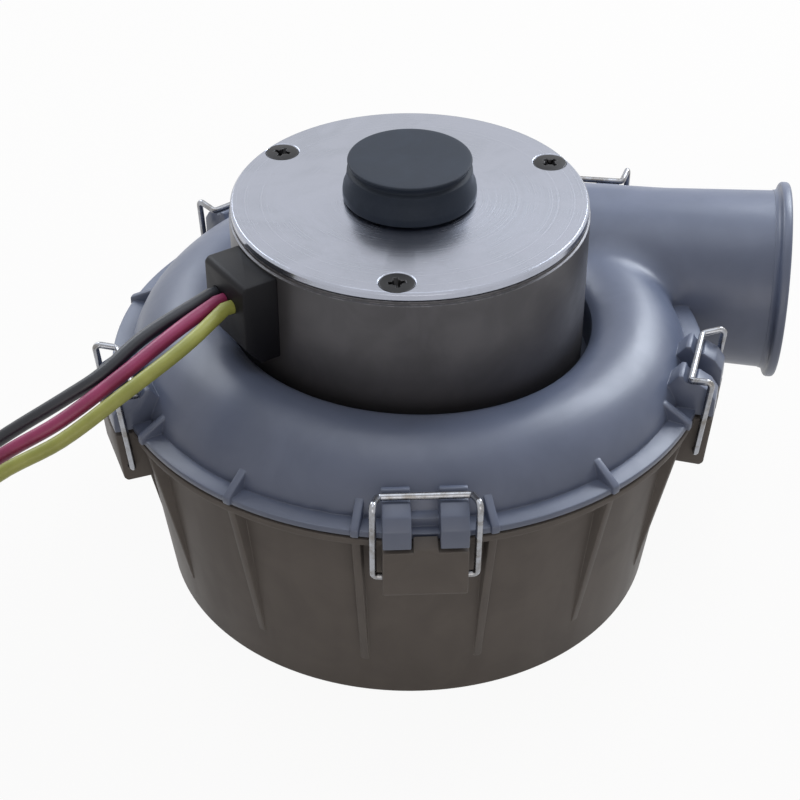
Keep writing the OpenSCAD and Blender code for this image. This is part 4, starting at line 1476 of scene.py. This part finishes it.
@dataclass
class Motor(SubAssembly):
    """The motor can with its top plate, screws, cap and lead block."""

    radius: float = 42.1
    wall: float = 2.5
    can_z: float = 59.0
    plate_z: float = 97.8
    top_z: float = 100.0
    screw_circle_r: float = 37.3
    screw_angles: tuple[float, ...] = (33, 153, 273)
    plate_r: float = 41.7
    head_r: float = 4.1
    boss_r: float = 12.5
    boss_top_z: float = 107.4
    cap_foot_r: float = 15.6
    cap_top_r: float = 14.4
    cap_h: float = 10.0
    block_half_w: float = 8.6
    exits: LeadExits = field(default_factory=LeadExits)

    def build(self) -> None:
        """Builds the pieces."""
        self.add(self.can(), "can", "can_metal", ["motor_can"])
        self.add(self.plate(), "top_plate_turned", "aluminium", ["top_plate"])
        self.add(self.screws(), "cross_screws", "black_steel", ["plate_screws"])
        self.add(self.cap(), "cap", "cap_rubber", ["rubber_cap"])
        self.add(self.block(), "lead_outlet", "block_plastic", ["lead_block"])

    def can(self) -> Shape:
        """Builds the can with its posts under the screws.

        Returns:
            The can.
        """
        inner = self.radius - self.wall
        low, high = self.can_z, self.plate_z
        wall = Shape.turned([(inner, low), (self.radius - 0.3, low), (self.radius, low + 0.3),
                             (self.radius, high - 0.9), (self.radius - 0.5, high - 0.7),
                             (self.radius - 0.5, high), (inner, high)], 180, ring=True)
        post = Shape.rod(4.3, 4.3, 88, self.plate_z - 0.01, 32).moved(self.screw_circle_r, 0, 0)
        wall.fused(post.with_copies(self.screw_angles))
        wall.cut(Shape.rod(2.05, 2.05, 80, 120, 24).moved(self.screw_circle_r, 0, 0)
                 .with_copies(self.screw_angles))
        window = Shape.block((35.6, -6, self.exits.height - 4), (45.6, 6, self.exits.height + 4))
        return wall.cut(window.rotated(self.exits.angle))

    def plate(self) -> Shape:
        """Builds the turned plate with the bearing boss.

        Returns:
            The plate.
        """
        low, top, high = self.plate_z, self.top_z, self.boss_top_z
        r, b = self.plate_r, self.boss_r
        plate = Shape.turned([(0, low), (r - 0.5, low), (r, low + 0.4), (r, top - 0.5),
                              (r - 0.5, top), *arc((b + 0.6, top + 0.6), 0.6, 270, 180, 4),
                              (b, high - 0.6), (b - 0.6, high), (0, high)], 180)
        plate.cut(Shape.rod(9.55, 9.55, self.plate_z - 1, 106.1, 64),
                  Shape.rod(5.2, 5.2, self.plate_z - 1, 120, 48))
        for angle in self.screw_angles:
            hole = Shape.rod(2.2, 2.2, 90, 104, 32)
            hole.fused(Shape.rod(2, self.head_r + 0.15, top - 2.2, top + 0.05, 48))
            plate.cut(hole.moved(self.screw_circle_r, 0, 0).rotated(angle))
        return plate

    def screws(self) -> Shape:
        """Builds the countersunk screws with their cross recesses.

        Returns:
            The screws as separate shells.
        """
        top = self.top_z - 0.05
        screw = Shape.turned([(0, top - 9), (1.6, top - 9), (2, top - 8.6), (2, top - 2.2),
                              (self.head_r - 0.15, top - 0.25), (self.head_r - 0.2, top - 0.05),
                              (self.head_r - 0.5, top), (1, top + 0.05), (0, top + 0.05)], 48)
        for turn in (0, 90):
            slot = Shape.block((-2.7, -0.6, top - 1.5), (2.7, 0.6, top + 1))
            for vert in slot.bm.verts:
                if vert.co.z < top - 1:
                    vert.co.x *= 0.35
                    vert.co.y *= 0.7
            screw.cut(slot.rotated(turn + 15))
        screw.cut(Shape.rod(0.7, 1.3, top - 1.7, top + 0.2, 24))
        return screw.moved(self.screw_circle_r, 0, 0).with_copies(self.screw_angles)

    def cap(self) -> Shape:
        """Builds the rubber cap with its thick foot.

        Returns:
            The cap.
        """
        z, foot, r = self.top_z, self.cap_foot_r, self.cap_top_r
        inner = self.boss_r + 0.05
        high = z + self.cap_h
        return Shape.turned(
            [(0, high - 0.2), (4, high - 0.1), (r - 1.6, high),
             *arc((r - 0.4, high - 0.4), 0.4, 90, -30, 6),
             (r - 0.7, high - 1.1), *arc((r - 0.3, high - 1.8), 0.5, 160, 210, 3),
             (r + 0.1, high - 2.6), (r + 0.25, high - 4), (foot - 0.75, z + 4.9),
             (foot - 0.2, z + 3.6), *arc((foot - 0.6, z + 2.4), 0.6, 30, 0, 2),
             *arc((foot - 0.5, z + 1), 0.5, 0, -90, 4),
             (inner, z + 0.5), (inner, z + 7.6), (0, z + 7.6)], 128)

    def block(self) -> Shape:
        """Builds the block that the leads leave by.

        Returns:
            The block.
        """
        low, high = self.top_z - 24.5, self.top_z - 3.5
        face = self.exits.face_r
        block = side_plate([(self.radius - 6, low), (face - 4, low), (face, low + 5),
                            (face, high - 1), (face - 1, high), (self.radius - 6, high)],
                           2 * self.block_half_w).bevelled(0.5)
        block.cut(Shape.rod(self.radius + 0.05, self.radius + 0.05, 60, 120, 128))
        for step in self.exits.steps():
            seat = Shape.rod(1.75, 1.75, -3, 3, 24).rotated(90, "Y")
            block.cut(seat.moved(face + 0.5, step, self.exits.height))
        return block.rotated(self.exits.angle)


@dataclass
class BailClips(SubAssembly):
    """The five wire bails, each on its own body."""

    sizes: CasingSizes = field(default_factory=CasingSizes)
    wire_r: float = 0.8
    half_w: float = 11.4
    leg_top_r: float = 75.4
    leg_top_z: float = 69.5
    pin_reach: float = 6.8

    def build(self) -> None:
        """Builds the pieces."""
        s = self.sizes
        for name, angle in zip(("front", "right", "rear", "left"), s.clip_angles):
            self.add_bail(self.bail().rotated(angle), name)
        self.add_bail(self.bail().rotated(90).moved(s.rear_clip_x, s.straight_y - s.rim_r, 0),
                      "outlet")

    def add_bail(self, shape: Shape, place: str) -> None:
        """Adds one bail to its body."""
        self.add(shape, "wire_" + place, "spring_wire", ["bail_" + place], body="bail_" + place,
                 sharp=60)

    def bail(self) -> Shape:
        """Bends one wire: in at a pin, up a leg, across the hook, and back the same way.

        Returns:
            The wire, at the row angle nought.
        """
        s = self.sizes
        half = [Vector((s.pivot_r, self.pin_reach, s.pivot_z)),
                Vector((s.pivot_r, self.half_w + 0.2, s.pivot_z)),
                Vector((self.leg_top_r, self.half_w, self.leg_top_z)),
                Vector((s.bar_r, self.half_w - 1, s.bar_z))]
        corners = half + [Vector((v.x, -v.y, v.z)) for v in reversed(half)]
        return Shape.swept(rounded_path(corners, 1.3, 6), self.wire_r, 16)


@dataclass(frozen=True)
class LeadRoute:
    """One lead's way from the block to the surface that the blower stands on."""

    colour: LeadColour
    points: tuple[tuple[float, float, float], ...]


LEAD_ROUTES = (
    LeadRoute(LeadColour.BLACK, (
        (-52.4, -46.4, 87.4), (-60, -56, 83.2), (-68, -60, 78.5), (-82, -65, 70), (-96, -68, 59),
        (-109, -71, 42), (-118, -73, 24), (-127, -76, 9), (-139, -80, 2.2), (-152, -86, 1.6))),
    LeadRoute(LeadColour.RED, (
        (-45.4, -44.6, 88.4), (-56, -57, 83.4), (-67, -66, 77.2), (-80, -71, 70), (-94, -75, 59),
        (-106, -80, 42), (-115, -84, 24), (-124, -88, 9), (-136, -92, 2.2), (-149, -98, 1.6))),
    LeadRoute(LeadColour.YELLOW, (
        (-43, -50, 87.6), (-54, -61, 82), (-66, -70, 75), (-79, -76, 69), (-92, -81, 58),
        (-103, -87, 42), (-112, -93, 24), (-121, -98, 9), (-132, -104, 2.2), (-144, -111, 1.6))),
)


@dataclass
class Leads(SubAssembly):
    """The three leads with their stripped and tinned ends."""

    exits: LeadExits = field(default_factory=LeadExits)
    diameter: float = 3.2
    end_length: float = 8.0
    strand_r: float = 0.26

    def build(self) -> None:
        for step, route in zip(self.exits.steps(), LEAD_ROUTES):
            self.lay(route, step)

    def exit_point(self, step: float, out: float) -> Vector:
        """Gives the place a distance out of the block's face, at a sideways step."""
        point = Vector((self.exits.face_r + out, step, self.exits.height))
        return Matrix.Rotation(math.radians(self.exits.angle), 3, "Z") @ point

    def lay(self, route: LeadRoute, step: float) -> None:
        """Lays one lead.

        Args:
            route: The lead's route.
            step: Its sideways place on the block.
        """
        name = route.colour.name.lower()
        start = self.exit_point(step, 0)
        path = [start, *smooth_route([self.exit_point(step, 2), *route.points], 6)]
        curve = bpy.data.curves.new("sleeve_" + name, "CURVE")
        curve.dimensions = "3D"
        curve.bevel_depth, curve.bevel_resolution = self.diameter / 2 * MM, 6
        curve.use_fill_caps = True
        spline = curve.splines.new("POLY")
        spline.points.add(len(path) - 1)
        for place, point in zip(spline.points, path):
            place.co = (*(point * MM), 1)
        sleeve = linked("sleeve_" + name, curve)
        curve.materials.append(self.finishes.by_slot[name + "_lead"])
        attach(sleeve, HOUSING)
        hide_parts("lead_" + name)
        strands = self.add(self.strands(Vector(route.points[-2]), Vector(route.points[-1])),
                           "strands_" + name, "tinned_wire", [name + "_lead_end"], sharp=60)
        length = sum((b - a).length for a, b in zip(path, path[1:]))
        LOG.info("sleeve_%s: %.0f mm long", name, length)

    def strands(self, before: Vector, end: Vector) -> Shape:
        """Builds the twisted strands at a lead's stripped end.

        Args:
            before: Last point but one of the lead.
            end: Last point of the lead.

        Returns:
            The strands.
        """
        along = Vector((end.x - before.x, end.y - before.y, 0)).normalized()
        side, up = Vector((-along.y, along.x, 0)), Vector((0, 0, 1))
        group = Shape.swept([end - along, end + along * self.end_length], self.strand_r, 10)
        lay_r, count, steps = 2 * self.strand_r, 6, 24
        for k in range(count):
            turns = [math.tau * (k / count + 0.8 * i / steps) for i in range(steps + 1)]
            path = [end + along * (self.end_length * i / steps)
                    + lay_r * (side * math.cos(a) + up * math.sin(a))
                    for i, a in enumerate(turns)]
            group.joined(Shape.swept(path, self.strand_r, 10))
        return group


@dataclass
class Studio:
    """The pale floor, the soft lamps and the camera at the photograph's angle."""

    camera_place: tuple[float, float, float] = (0.04536, -0.36185, 0.31035)
    camera_look: tuple[float, float, float] = (-0.10499, 0.79749, -0.59412)
    lens: float = 81.0
    sensor: float = 36.0
    ambient: float = 0.38
    floor_glow: float = 0.94
    floor_half: float = 3000.0
    cool: Colour = (0.86, 0.92, 1.0)
    warm: Colour = (1.0, 0.94, 0.88)

    def build(self) -> None:
        """Builds the stage."""
        self.camera()
        self.floor()
        self.surroundings()
        self.lamp("left", (-0.42, 0.38, 0.48), 0.07, 0.35, 1.9, self.cool)
        self.lamp("right", (0.30, 0.45, 0.48), 0.07, 0.35, 4.0, self.cool)
        self.lamp("over", (0.0, 0.02, 0.85), 0.07, 0.5, 1.2, self.cool)
        self.lamp("fill", (0.15, -0.75, 0.12), 0.03, 0.5, 1.0, self.warm)
        LOG.info("studio is set")

    def camera(self) -> None:
        """Places the camera."""
        data = bpy.data.cameras.new("camera")
        data.lens, data.sensor_width = self.lens, self.sensor
        camera = linked("camera", data)
        camera.location = self.camera_place
        camera.rotation_euler = Vector(self.camera_look).to_track_quat("-Z", "Y").to_euler()
        bpy.context.scene.camera = camera

    def lamp(self, name: str, place: Sequence[float], aim_z: float, size: float, power: float,
             colour: Colour) -> None:
        """Adds a soft square lamp.

        Args:
            name: Name of the lamp.
            place: Where it hangs.
            aim_z: Height of the point on the blower's axis that it faces.
            size: Length of its side, in metres.
            power: Its power in watts.
            colour: Its colour.
        """
        data = bpy.data.lights.new(name, "AREA")
        data.shape, data.size, data.energy, data.color = "SQUARE", size, power, colour
        lamp = linked(name, data)
        lamp.location = place
        toward = Vector((0, 0, aim_z)) - Vector(place)
        lamp.rotation_euler = toward.to_track_quat("-Z", "Y").to_euler()

    def floor(self) -> None:
        """Lays the pale floor, which looks white and keeps the shadow."""
        shape = Shape()
        bmesh.ops.create_grid(shape.bm, x_segments=1, y_segments=1, size=self.floor_half)
        floor = shape.to_object("floor", 30)
        bench = Bench("floor_card")
        grain = bench.noise(3, 2)
        card = bench.signal("BsdfDiffuse", {}, {"Color": bench.mixed(
            grain, (0.50, 0.475, 0.45), (0.53, 0.50, 0.475))})
        glow = bench.signal("Emission", {}, {"Color": (1, 1, 1, 1), "Strength": 1.0})
        both = bench.signal("MixShader", {}, {0: bench.seen() * self.floor_glow, 1: card,
                                              2: glow})
        bench.node("OutputMaterial", {}, {"Surface": both})
        floor.data.materials.append(bench.owner)

    def surroundings(self) -> None:
        """Makes the background white where it is seen, and soft elsewhere."""
        bench = Bench("studio", world=True)
        soft = bench.signal("Background", {}, {"Color": (1, 0.93, 0.87, 1),
                                               "Strength": self.ambient})
        white = bench.signal("Background", {}, {"Color": (1, 1, 1, 1), "Strength": 1.0})
        both = bench.signal("MixShader", {}, {0: bench.seen(), 1: soft, 2: white})
        bench.node("OutputWorld", {}, {"Surface": both})
        bpy.context.scene.world = bench.owner
        bpy.context.scene.view_settings.view_transform = "Standard"


def main() -> None:
    """Builds the studio and every sub-assembly in order."""
    logging.basicConfig(level=logging.INFO, format="%(message)s")
    Studio().build()
    finishes = Finishes()
    Leads(finishes).build()
    finishes.dress_frame()
    LowerCasing(finishes).build()
    UpperCasing(finishes).build()
    Motor(finishes).build()
    BailClips(finishes).build()


if __name__ == "__main__":
    main()
